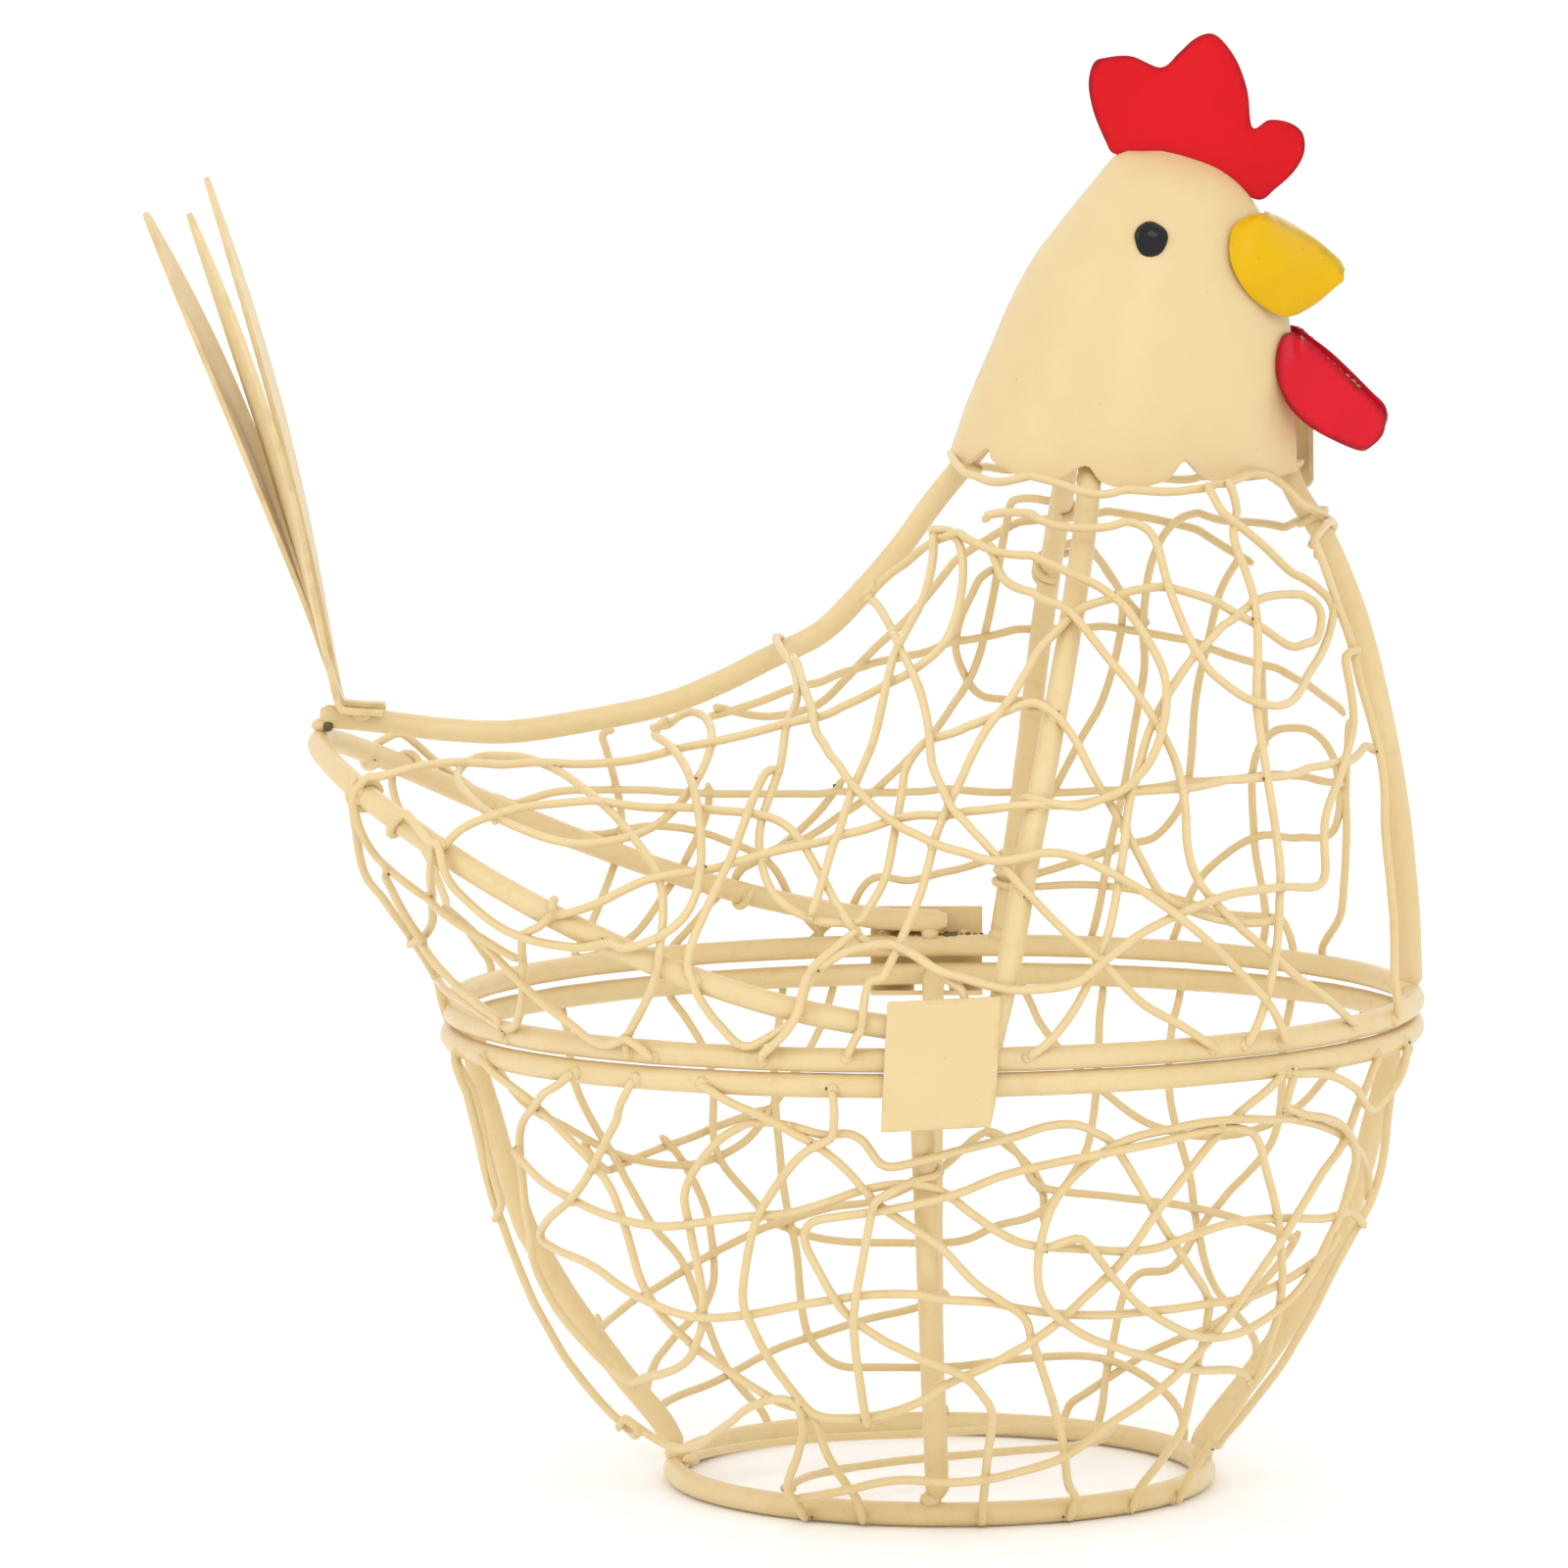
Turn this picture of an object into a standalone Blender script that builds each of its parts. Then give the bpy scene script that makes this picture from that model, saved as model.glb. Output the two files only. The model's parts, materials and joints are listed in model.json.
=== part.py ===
"""Hen-shaped wire egg basket: a round wire bowl, and a hen lid hinged on its far rim ring.

Millimetre figures are turned into metres by MM. +Z is up, +X runs towards the head, -Y is the
catch side and +Y is the hinge side. The model is at rest with the lid shut.
"""

import bpy
import bmesh
import numpy as np
from math import acos, cos, pi, radians, sin, sqrt
from mathutils import Vector

MM = 0.001

# ---- driving dimensions, in millimetres ----
RING_X, RING_Y = 24.42, -0.13    # axis of the two rim rings in the object's frame
ROD_R = 2.0                    # frame rod, 4 mm iron wire
WIRE_R = 0.7                   # cage wire, 1.4 mm
GAP = 0.3                      # clearance between pieces that touch or are welded in the real one
RIM_R = 78.7                   # centre line of both rim rings
BASKET_RIM_Z = 74.8
LID_RIM_Z = 79.7
BASKET_TILT, LID_TILT = 0.0115, 0.006    # rise of each rim ring towards the head
BASE_R = 43.5                  # centre line of the base ring
SHEET = 0.9                    # tail, plate and catch sheet
SHELL = 0.8                    # stamped head sheet
HINGE_Y = RIM_R                # hinge axis: centre of the basket rim rod at its far point
CURL_R = 3.0                   # inside radius of the hinge curl
WIRE_RISE = 2.2                # least height of a cage wire's centre over the rod centre lines
WIRE_STEP = 2.0                # spacing of the points a wire is laid through
WIRE_TOL = 0.42                # a laid point this close to a straight run is left out

# ---- lines of the cage, in millimetres from the ring axis ----
SPINE = [(-100, 126.2), (-91, 125.4), (-80, 124), (-69, 123.6), (-57, 125.3), (-44, 128),
         (-35, 131.5), (-27, 135.5), (-18, 140), (-11, 147), (-5, 154), (0, 161), (4, 167),
         (15, 176), (30, 180), (45, 176), (59, 163), (64, 155), (69, 143), (73, 128),
         (76, 112), (78.7, 79)]
BOWL = [(0, 41.0), (2, 43.0), (7, 47.6), (15, 54.5), (24, 61.0), (33, 66.0), (42, 69.6),
        (50, 71.8), (60, 73.8), (68, 75.4), (71, 77.0), (73.9, 78.4), (76, 78.4)]


def clear_scene():
    for obj in list(bpy.data.objects):
        bpy.data.objects.remove(obj, do_unlink=True)


def material(name, colour, roughness):
    mat = bpy.data.materials.new(name)
    mat.use_nodes = True
    bsdf = mat.node_tree.nodes["Principled BSDF"]
    bsdf.inputs["Base Color"].default_value = (*colour, 1.0)
    bsdf.inputs["Roughness"].default_value = roughness
    return mat


CREAM = (0.84, 0.66, 0.34)
RED = (0.75, 0.02, 0.03)
YELLOW = (0.79, 0.55, 0.01)
BLACK = (0.01, 0.01, 0.01)


def finish(obj, parent, colour=CREAM, roughness=0.45):
    """Link the piece to the object's collection, give it its own material and hang it on its body."""
    PARTS.objects.link(obj)
    obj.data.materials.append(material(obj.name + "_paint", colour, roughness))
    obj.parent = parent
    obj.matrix_parent_inverse = parent.matrix_world.inverted()
    return obj


def place(points):
    """Millimetres from the ring axis to metres in the object's frame."""
    return [Vector(((x + RING_X) * MM, (y + RING_Y) * MM, z * MM)) for x, y, z in points]


def smooth(points, count):
    """Catmull-Rom curve through the points, resampled at equal steps."""
    p = np.array(points, float)
    p = np.vstack([2 * p[0] - p[1], p, 2 * p[-1] - p[-2]])
    t = np.linspace(0, 1, 9)[:-1, None]
    runs = []
    for a, b, c, d in zip(p[:-3], p[1:-2], p[2:-1], p[3:]):
        runs.append(0.5 * (2 * b + (c - a) * t + (2 * a - 5 * b + 4 * c - d) * t ** 2
                           + (3 * b - a - 3 * c + d) * t ** 3))
    line = np.vstack(runs + [p[-2:-1]])
    along = np.concatenate([[0], np.cumsum(np.linalg.norm(np.diff(line, axis=0), axis=1))])
    at = np.linspace(0, along[-1], count)
    return np.column_stack([np.interp(at, along, line[:, k]) for k in range(line.shape[1])])


def thinned(line, tolerance):
    """The fewest of the line's points that keep it within the tolerance."""
    keep = {0, len(line) - 1}
    runs = [(0, len(line) - 1)]
    while runs:
        a, b = runs.pop()
        if b - a < 2:
            continue
        chord = line[b] - line[a]
        between = line[a + 1:b] - line[a]
        t = np.clip(between @ chord / max(chord @ chord, 1e-9), 0, 1)
        off = np.linalg.norm(between - t[:, None] * chord, axis=1)
        worst = int(off.argmax())
        if off[worst] > tolerance or b - a > 14:
            middle = a + 1 + worst if off[worst] > tolerance else (a + b) // 2
            keep.add(middle)
            runs += [(a, middle), (middle, b)]
    return line[sorted(keep)]


def tube(name, points, radius, parent, closed=False, sides=8):
    """Round rod or wire along a line of points given in millimetres from the ring axis."""
    curve = bpy.data.curves.new(name, "CURVE")
    curve.dimensions = "3D"
    curve.bevel_depth = radius * MM
    curve.bevel_resolution = {6: 1, 8: 2}[sides]
    curve.use_fill_caps = not closed
    spline = curve.splines.new("POLY")
    spots = place(points)
    spline.points.add(len(spots) - 1)
    for at, spot in zip(spline.points, spots):
        at.co = (*spot, 1.0)
    spline.use_cyclic_u = closed
    OBSTACLES.append((np.array(points, float), radius, closed))
    return finish(bpy.data.objects.new(name, curve), parent)


def ring(name, radius, z, parent, x_shift=0.0, tilt=0.0, steps=40):
    turn = [2 * pi * (i + 0.5) / steps for i in range(steps)]
    line = [(radius * cos(a) + x_shift, radius * sin(a), z + tilt * radius * cos(a)) for a in turn]
    return tube(name, line, ROD_R, parent, closed=True)


# ---- the surfaces that the cage wires follow ----
def spine_height(x):
    return float(np.interp(x, [p[0] for p in SPINE], [p[1] for p in SPINE]))


def hoop(x):
    """Half width and height of the tail hoop's centre line."""
    back = min(max(-x / 100, 0.0), 1.0)
    return 78.4 * sqrt(max(0.0, 1 - back ** 2)), 84.1 + 37.8 * back ** 1.7


def lid_base(x):
    """Half width and height where the lid's side starts: the lid ring, or the hoop behind it."""
    y_ring = sqrt(max(0.0, RIM_R ** 2 - x * x))
    if x >= 0:
        return y_ring, LID_RIM_Z
    y_hoop, z_hoop = hoop(x)
    blend = min(1.0, -x / 15)
    return y_ring + (y_hoop - y_ring) * blend, LID_RIM_Z + (z_hoop - LID_RIM_Z) * blend


def lid_point(x, turn):
    """Point of the lid surface. turn is 0 at the spine, +-90 at its base line, +-135 at the ring."""
    y0, z0 = lid_base(x)
    top = spine_height(x)
    side = 1 if turn > 0 else -1
    a = abs(turn)
    if a <= 90:
        power = 1.1 + 0.4 * min(1.0, max(0.0, (x + 100) / 100))
        return x, side * y0 * sin(radians(a)) ** power, z0 + (top - z0) * cos(radians(a))
    down = min(1.0, (a - 90) / 45)
    y_ring = sqrt(max(0.0, RIM_R ** 2 - x * x))
    return x, side * (y0 + (y_ring - y0) * down), z0 + (LID_RIM_Z - z0) * down


def lid_turn(x, z, side):
    y0, z0 = lid_base(x)
    if z >= z0:
        return side * max(2.0, 90 / (pi / 2) * acos(min(1.0, (z - z0) / (spine_height(x) - z0))))
    return side * (90 + 45 * (z0 - z) / max(z0 - LID_RIM_Z, 1e-6))


def bowl_radius(z):
    return float(np.interp(z, [p[0] for p in BOWL], [p[1] for p in BOWL]))


def bowl_point(turn, z):
    r = bowl_radius(z)
    return r * cos(radians(turn)), r * sin(radians(turn)), z


def bowl_turn(x, z, side):
    return side * acos(max(-1.0, min(1.0, x / bowl_radius(z)))) * 180 / pi


def normals(surface, guide):
    """Outward normals of a surface function at each pair of its two parameters."""
    found = []
    for a, b in guide:
        du = np.subtract(surface(a + 0.5, b), surface(a - 0.5, b))
        dv = np.subtract(surface(a, b + 0.5), surface(a, b - 0.5))
        n = np.cross(du, dv)
        here = np.array(surface(a, b))
        away = here - np.array([0.0, 0.0, 70.0]) if surface is lid_point else here * [1, 1, 0]
        n = n / max(np.linalg.norm(n), 1e-9)
        found.append(n if n @ away > 0 else -n)
    return np.array(found)


def lay(name, surface, guide, parent):
    """Lay one cage wire on a surface, lifted over every rod and wire that it crosses."""
    rough = np.array([surface(a, b) for a, b in smooth(guide, 60)])
    length = np.linalg.norm(np.diff(rough, axis=0), axis=1).sum()
    count = max(6, int(length / WIRE_STEP)) + 1
    guide = smooth(guide, count)
    base = np.array([surface(a, b) for a, b in guide])
    out = normals(surface, guide)
    height = np.full(count, WIRE_RISE)
    for line, radius, closed in OBSTACLES:
        loop = np.vstack([line, line[:1]]) if closed else line
        pieces = np.maximum(2, (np.linalg.norm(np.diff(loop, axis=0), axis=1) / 0.8).astype(int))
        dense = np.vstack([np.linspace(a, b, k, endpoint=False)
                           for a, b, k in zip(loop, loop[1:], pieces)] + [loop[-1:]])
        keep = radius + WIRE_R + GAP + 0.3
        step = dense[None] - base[:, None]
        along = (step * out[:, None]).sum(axis=2)
        across = (step ** 2).sum(axis=2) - along ** 2
        near = (across < keep ** 2) & (along > -6)
        lift = np.where(near, along + np.sqrt(np.maximum(keep ** 2 - across, 0)), -9.0)
        height = np.maximum(height, lift.max(axis=1))
    run = np.concatenate([[0], np.cumsum(np.linalg.norm(np.diff(base, axis=0), axis=1))])
    slope = np.abs(run[:, None] - run[None])
    height = (height[None] - 0.3 * np.maximum(0, slope - 2.0)).max(axis=1)
    line = thinned(base + out * height[:, None], WIRE_TOL)
    return tube(name, line, WIRE_R, parent, sides=6)


def lid_wire(name, spots, parent):
    """spots: (x, z, side) read on the lid's side, side -1 near and +1 far."""
    lay(name, lid_point, [(x, lid_turn(x, z, side)) for x, z, side in spots], parent)


def bowl_wire(name, spots, parent):
    lay(name, bowl_point, [(bowl_turn(x, z, side), z) for x, z, side in spots], parent)


def near(*spots):
    return [(x, z, -1) for x, z in spots]


def far(*spots):
    return [(x, z, 1) for x, z in spots]


# ---- sheet pieces ----
def sheet(name, rows, thick, parent, colour=CREAM, roughness=0.45, skip=(), offset=-1.0):
    """Grid of points made into a sheet of even thickness. skip holds (row, column) of open cells."""
    bm = bmesh.new()
    grid = [[bm.verts.new(v) for v in place(row)] for row in rows]
    for i in range(len(grid) - 1):
        for j in range(len(grid[0]) - 1):
            if (i, j) not in skip:
                bm.faces.new((grid[i][j], grid[i][j + 1], grid[i + 1][j + 1], grid[i + 1][j]))
    for vert in [v for v in bm.verts if not v.link_faces]:
        bm.verts.remove(vert)
    mesh = bpy.data.meshes.new(name)
    bm.to_mesh(mesh)
    bm.free()
    obj = finish(bpy.data.objects.new(name, mesh), parent, colour, roughness)
    solid = obj.modifiers.new("Thickness", "SOLIDIFY")
    solid.thickness = thick * MM
    solid.offset = offset
    solid.use_even_offset = True
    return obj


def cut_sheet(name, outline, depth, thick, parent, colour, roughness=0.2):
    """Sheet cut to an outline in the XZ plane; depth(x, z) gives its Y, and None a flat one."""
    bm = bmesh.new()
    if depth is None:
        bm.faces.new([bm.verts.new(v) for v in place([(x, 0.0, z) for x, z in outline])])
        return cut_out(name, bm, thick, parent, colour, roughness)
    middle = np.mean(np.array(outline), axis=0)
    loops = []
    for part in (1.0, 0.66, 0.33):
        ring_pts = [middle + (np.array(p) - middle) * part for p in outline]
        loops.append([bm.verts.new(v) for v in place([(x, depth(x, z), z) for x, z in ring_pts])])
    centre = bm.verts.new(place([(middle[0], depth(*middle), middle[1])])[0])
    n = len(outline)
    for k in range(n):
        m = (k + 1) % n
        for outer, inner in zip(loops, loops[1:]):
            bm.faces.new((outer[k], outer[m], inner[m], inner[k]))
        bm.faces.new((loops[-1][k], loops[-1][m], centre))
    return cut_out(name, bm, thick, parent, colour, roughness)


def cut_out(name, bm, thick, parent, colour, roughness):
    mesh = bpy.data.meshes.new(name)
    bm.to_mesh(mesh)
    bm.free()
    obj = finish(bpy.data.objects.new(name, mesh), parent, colour, roughness)
    solid = obj.modifiers.new("Thickness", "SOLIDIFY")
    solid.thickness = thick * MM
    solid.offset = 0.0
    return obj


# ---- bodies ----
clear_scene()
PARTS = bpy.data.collections.new("egg_collection_basket")
bpy.context.scene.collection.children.link(PARTS)
OBSTACLES = []

basket = bpy.data.objects.new("basket_body", None)
PARTS.objects.link(basket)
lid = bpy.data.objects.new("lid_body", None)
lid.location = place([(0, HINGE_Y, BASKET_RIM_Z)])[0]
PARTS.objects.link(lid)
bpy.context.view_layer.update()


# ---- basket frame ----
ring("basket_rim_ring", RIM_R, BASKET_RIM_Z, basket, tilt=BASKET_TILT)
base_ring = ring("basket_base_ring", BASE_R, ROD_R * cos(pi / 8), basket, x_shift=1.4)
for at in base_ring.data.splines[0].points:
    at.tilt = pi / 8      # a flat of the eight-sided rod faces the table
BOWL_RIB = [(74.3, 75.3), (74.1, 68.5), (72.2, 60), (70.7, 53.5), (67.6, 43), (65.4, 38.6),
            (60.2, 29.6), (51.8, 17.6), (45.6, 9.8), (43.1, 6.4)]


def bowl_rib(name, turn, twist, shift):
    """Upright rod inside the rim ring, curving in to stand on the base ring."""
    line = []
    for r, z in smooth(BOWL_RIB, 13):
        a = radians(turn + twist * (74.5 - z) / 68)
        line.append((r * cos(a) + shift * (1 - z / 74.5), r * sin(a), z))
    tube(name, line, ROD_R, basket)


bowl_rib("basket_rib_tail", 180, 0.0, 1.4)
bowl_rib("basket_rib_breast", 0, 0.0, 1.4)
bowl_rib("basket_rib_near", -92.2, 0.8, 1.4)
bowl_rib("basket_rib_far", 88.8, 1.4, 1.4)

# ---- lid frame ----
ring("lid_rim_ring", RIM_R, LID_RIM_Z, lid, tilt=LID_TILT)
HOOP_X = [4, -8, -24, -40, -56, -70, -82, -91, -97, -99.6]
half = [(x, hoop(x)[0], hoop(x)[1]) for x in HOOP_X]
tube("lid_tail_hoop",
     smooth([(x, -y, z) for x, y, z in half] + [(-100, 0, hoop(-100)[1])] + half[::-1], 36),
     ROD_R, lid)
tube("lid_spine", smooth([(x, 0, z) for x, z in SPINE[:12]] + [(4.2, 0, 166.2), (8.5, 0, 171.5)],
                         20), ROD_R, lid)
tube("lid_breast_rib", smooth([(78.6, 0, 83.0), (77.9, 0, 96), (76, 0, 112), (73, 0, 128),
                               (69, 0, 143), (64, 0, 155), (59.4, 0, 162.5), (56.8, 0, 169)], 14),
     ROD_R, lid)
LID_RIB_NEAR = [(7.6, -78.6, 82.4), (10.6, -76.6, 94), (13.6, -71.3, 110), (17, -63.3, 126),
                (20.2, -51.5, 141), (22.8, -36, 153.5), (24.2, -24.5, 160.5),
                (25.2, -14.8, 168.5)]
LID_RIB_FAR = [(13.2, 78.6, 82.4), (15.1, 76.6, 94), (17.1, 71.3, 110), (18.6, 63.3, 126),
               (20, 51.5, 141), (21.2, 36, 153.5), (21.9, 24.5, 160.5), (22.5, 14.8, 168.5)]
tube("lid_rib_near", smooth(LID_RIB_NEAR, 15), ROD_R, lid)
tube("lid_rib_far", smooth(LID_RIB_FAR, 15), ROD_R, lid)

# ---- cage wires of the basket ----
bowl_wire("basket_wire_near_1", near(
    (-72.5, 74.3), (-64, 68), (-54, 59), (-50, 51.5), (-46, 39), (-39.5, 31.5), (-33, 27),
    (-26, 22.5), (-20, 20), (-17, 12), (-12.5, 4.5)), basket)
bowl_wire("basket_wire_near_2", near(
    (-57, 74.3), (-63, 69), (-66.5, 62), (-66.3, 54), (-65.3, 46), (-64, 38.5), (-58.5, 30),
    (-50, 22.8), (-46, 24), (-41, 27), (-38, 31), (-36.8, 38), (-39, 50), (-40, 56), (-38, 61),
    (-33.5, 66.5), (-29, 68.8), (-23.5, 68.5), (-18, 67.5), (-14.5, 67.8), (-12, 66.5),
    (-9, 62.5), (-5, 62.8), (3, 65), (9, 66.5), (16, 68.5), (21, 68.8), (25.5, 66.8), (28, 64),
    (33, 55.5), (36.5, 49.5), (40.5, 43), (43, 38.2), (42.7, 33), (41, 24), (39, 14),
    (33, 4.5)), basket)
bowl_wire("basket_wire_near_3", near(
    (-67, 60), (-62, 55), (-57, 53), (-50, 51.5), (-43, 51), (-33.5, 53), (-24, 54.3),
    (-18.5, 56), (-12, 58.5), (-5.5, 59.6), (0, 58.6), (5, 54.8), (9.5, 51.6), (14, 49.5),
    (21.5, 48.7), (28.5, 48), (33.5, 48.3), (37.3, 49.3), (43.5, 50.7), (49.5, 51),
    (55, 50.5), (62, 49), (67, 49)), basket)
bowl_wire("basket_wire_near_4", near(
    (-47.5, 74.3), (-50, 69.5), (-53.5, 60.5), (-57.5, 53.5), (-63.5, 46), (-61, 44),
    (-55, 42.5), (-46, 38.5), (-38, 36.8), (-29, 37.8), (-21, 39.5), (-12, 41.2), (-4, 41.5),
    (0, 40.8), (7.5, 40.3), (13, 39), (20, 37.8), (28, 37.3), (35.5, 37.7), (43, 38.3),
    (49, 38), (54, 39), (61.5, 42)), basket)
bowl_wire("basket_wire_near_5", near(
    (-37, 74.3), (-32, 72), (-27, 70), (-21, 67), (-15, 62.5), (-10, 57), (-5.5, 53.5),
    (0, 49.5), (6, 43.3), (13, 38.3), (14.5, 34), (17, 26.5), (19, 19.5), (21, 8),
    (22.5, 4.5)), basket)
bowl_wire("basket_wire_near_6", near(
    (-16.5, 67.2), (-19, 66), (-22, 63.5), (-25.5, 58.5), (-28, 54), (-29.5, 48), (-30, 40),
    (-28.7, 36.5), (-25.5, 29.5), (-21.7, 23), (-19, 20.4), (-13.5, 20), (-8, 21), (-2, 23.5),
    (0, 25.5), (5.5, 29), (13, 33.5), (19.7, 38.5), (27.5, 46), (33.5, 54), (40.5, 62),
    (48, 69.5), (54, 74.3)), basket)
bowl_wire("basket_wire_near_7", near(
    (50.5, 22.5), (47, 25.5), (39, 27.3), (31, 30.8), (24.5, 34), (20, 37), (16, 41),
    (15, 46), (16, 52), (18, 57), (22.7, 62.5), (28.3, 66), (36.5, 67.7), (44, 68.5),
    (51, 68), (59, 65.8), (65.5, 62), (70, 55), (70.2, 47)), basket)
bowl_wire("basket_wire_near_8", near(
    (7.5, 4.5), (8, 13), (8.5, 21), (7, 25), (3.5, 29), (-5.5, 32.5), (-10, 35), (-14.8, 39),
    (-18.5, 45), (-21, 50), (-20, 53.2), (-16, 54.5), (-8, 56), (-3, 57), (3, 58.5), (9.5, 61), (19, 63.5), (28, 65),
    (36.5, 66), (44, 67), (48.5, 66), (50.7, 63), (52.3, 56.5), (53.8, 49), (54.5, 40),
    (53, 28.5), (48, 17), (42, 6)), basket)
bowl_wire("basket_wire_near_9", near(
    (70, 73), (67.8, 69), (64, 61), (60.5, 57), (56, 51.5), (51.3, 44.5), (46.3, 37.5),
    (41.7, 31.5), (34, 24), (27.8, 19), (20.5, 13.5), (12, 10.5), (2, 9), (-8, 9), (-15, 7),
    (-22, 4.5)), basket)
bowl_wire("basket_wire_far_1", far(
    (-62, 74.3), (-60, 60), (-53, 46), (-47, 35), (-41.5, 28), (-37.5, 18.5), (-33.5, 10.5),
    (-28, 4.5)), basket)
bowl_wire("basket_wire_far_2", far(
    (-66, 30), (-60, 20), (-54, 21.5), (-46, 25), (-36, 29.5), (-26, 33), (-16, 35.5),
    (-8, 36.5), (2, 41), (11, 48), (16.5, 44), (20, 39), (33, 38), (45.5, 37.5), (57.5, 36),
    (66, 34)), basket)
bowl_wire("basket_wire_far_3", far(
    (-24, 74.3), (-26, 60), (-24.5, 41), (-22, 29), (-21, 18), (-19, 13.5), (-15, 10.5),
    (-8.5, 10), (4.5, 10), (16, 11.5), (30, 12.5), (40, 9), (43, 4)), basket)
bowl_wire("basket_wire_far_4", far(
    (-45, 74.3), (-37, 60), (-36, 46), (-29.5, 38), (-24, 33), (-12, 30), (4.5, 29.5),
    (12, 32), (20.5, 35.5), (27, 44), (29, 50), (30, 60), (31, 73.2)), basket)
bowl_wire("basket_wire_far_5", far(
    (62, 74.3), (59.5, 52), (51, 40.5), (46, 34), (42, 27.5), (36.5, 26), (33.5, 21.5),
    (30.5, 11.5), (29.5, 4.5)), basket)
bowl_wire("basket_wire_far_6", far(
    (44, 74.3), (42, 57), (44.5, 44.5), (46, 32), (50, 24), (55, 17.5), (52, 12),
    (46, 5)), basket)

# ---- cage wires of the lid ----
lid_wire("lid_wire_near_1", near(
    (-24, 137.5), (-22.2, 133), (-24, 128), (-25, 122.5), (-27.7, 115.5), (-28, 110.5),
    (-26, 105), (-21, 101.5), (-13.5, 100.5), (-11, 103), (-8.5, 107.5), (-7.3, 113),
    (-6, 119.5), (-5, 124), (-2, 127.5), (3.5, 129.5), (10, 132), (14, 133.3), (17.5, 132),
    (21, 128), (24, 122.5), (28.5, 115), (31, 110.5), (34, 105), (37.5, 102.3), (45.5, 99.5),
    (53.5, 99), (61, 100), (69, 101)), lid)
lid_wire("lid_wire_near_2", near(
    (-43, 127), (-40, 128.8), (-36.5, 128), (-36, 124.5), (-39, 119), (-44.5, 114),
    (-50.5, 112), (-58.5, 111.5), (-66, 113.5), (-72.5, 116.5), (-76, 120), (-73.5, 122.3),
    (-68, 122.5), (-60.5, 121), (-55.5, 118.5), (-50.5, 115), (-47, 111.5), (-44, 107.5),
    (-43, 102.5), (-43.5, 95.5), (-45, 89), (-49, 81)), lid)
lid_wire("lid_wire_near_3", near(
    (-90, 120), (-80, 121), (-68, 121), (-56.5, 121.2), (-45, 123), (-37, 124.5), (-29, 126.5),
    (-21.5, 128.5), (-11, 133.5), (-4, 137.5), (1, 142), (3, 148), (3.5, 154),
    (2.2, 158)), lid)
lid_wire("lid_wire_near_4", near(
    (-79, 108), (-74, 113), (-65.5, 115.5), (-56, 116.5), (-48, 116), (-38, 116), (-29, 115.5),
    (-24.5, 114.5), (-21.5, 112), (-18, 106.5), (-15, 101.5), (-11.5, 97.5), (-6, 96.6),
    (-2, 94.5), (1, 92), (3.5, 90.4)), lid)
lid_wire("lid_wire_near_5", near(
    (-61, 100), (-55, 102), (-48, 105), (-43, 106.5), (-32.5, 108.5), (-24.5, 110.5),
    (-11, 114), (-4.5, 116), (3, 117), (11, 118), (19, 118), (26.5, 119), (34.5, 120),
    (42, 120.5), (50, 121), (58, 121.5), (66, 122), (71, 122.5)), lid)
lid_wire("lid_wire_near_6", near(
    (-14.5, 80), (-12, 87), (-9, 92), (-6, 98), (-3, 105), (-0.5, 113), (3, 121), (7, 128.5),
    (11.5, 134), (15.5, 141), (19, 144.5), (22.5, 147.5), (29, 149.5), (35.5, 150.5),
    (41.5, 149), (46, 147), (52, 143.5), (57, 140.3), (61, 141), (62, 145.5), (59, 148),
    (52, 148), (46, 144.5), (40.5, 140), (36.5, 135), (32.5, 128.5), (30.5, 122.5),
    (29, 117.5), (28, 109), (26.5, 100), (24, 93.5), (21, 87.5), (17, 82.5),
    (13.5, 80)), lid)
lid_wire("lid_wire_near_7", near(
    (-10.5, 146.5), (-8, 144), (-5.5, 140), (-3, 135), (-1.5, 129.5), (-0.5, 123.5),
    (1.5, 118.5), (3.5, 115.5), (8, 111), (12.5, 106), (18.5, 99.8), (25, 94), (31, 88),
    (37.5, 84), (43, 80)), lid)
lid_wire("lid_wire_near_8", near(
    (8, 160.5), (8.6, 156), (10.5, 151.5), (15.5, 149), (20, 147), (23, 144), (27.5, 138.5),
    (33, 130.5), (36.5, 124), (38, 117.5), (38.5, 111.5), (40.5, 105.5), (45.5, 99.5),
    (52.5, 93.5), (57, 89.5), (62, 85.5), (66.5, 81)), lid)
lid_wire("lid_wire_near_9", near(
    (48.5, 161.5), (47.7, 157), (50, 147.5), (50.5, 139.5), (50.5, 129), (51.5, 120),
    (53.5, 109), (53, 101), (52, 93), (50, 84), (48, 80)), lid)
lid_wire("lid_wire_near_10", near(
    (11, 161.5), (18, 160), (26, 159.5), (32, 160), (34.5, 157.5), (36, 151), (38, 145.5), (40.5, 140), (44, 136), (49, 132.5), (54.5, 131.5),
    (58.5, 134.5), (62.5, 140), (64.5, 145), (62, 148.5), (58, 151), (53, 155),
    (46, 160.5)), lid)
lid_wire("lid_wire_near_11", near(
    (66, 138), (67, 129), (64.5, 122), (61.5, 114), (60.5, 104), (53, 104), (44.5, 103.5),
    (38, 101.5), (31, 98.5), (25, 94.5), (20, 91), (10, 90.5), (0, 93), (-8, 97), (-16.5, 95),
    (-21, 90), (-24, 84.5), (-30, 81), (-34.5, 84.5), (-38, 90), (-39, 95), (-36, 102),
    (-32, 109.5), (-29, 116.5), (-27, 121)), lid)
lid_wire("lid_wire_far_1", far(
    (-58, 121.5), (-50, 119.5), (-42, 121.5), (-29, 125), (-21, 128), (-10, 131), (1, 133),
    (10.5, 135), (19, 136), (27, 136.5), (37, 136), (47, 134), (56, 131.5), (64, 128.5),
    (69.5, 124)), lid)
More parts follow.
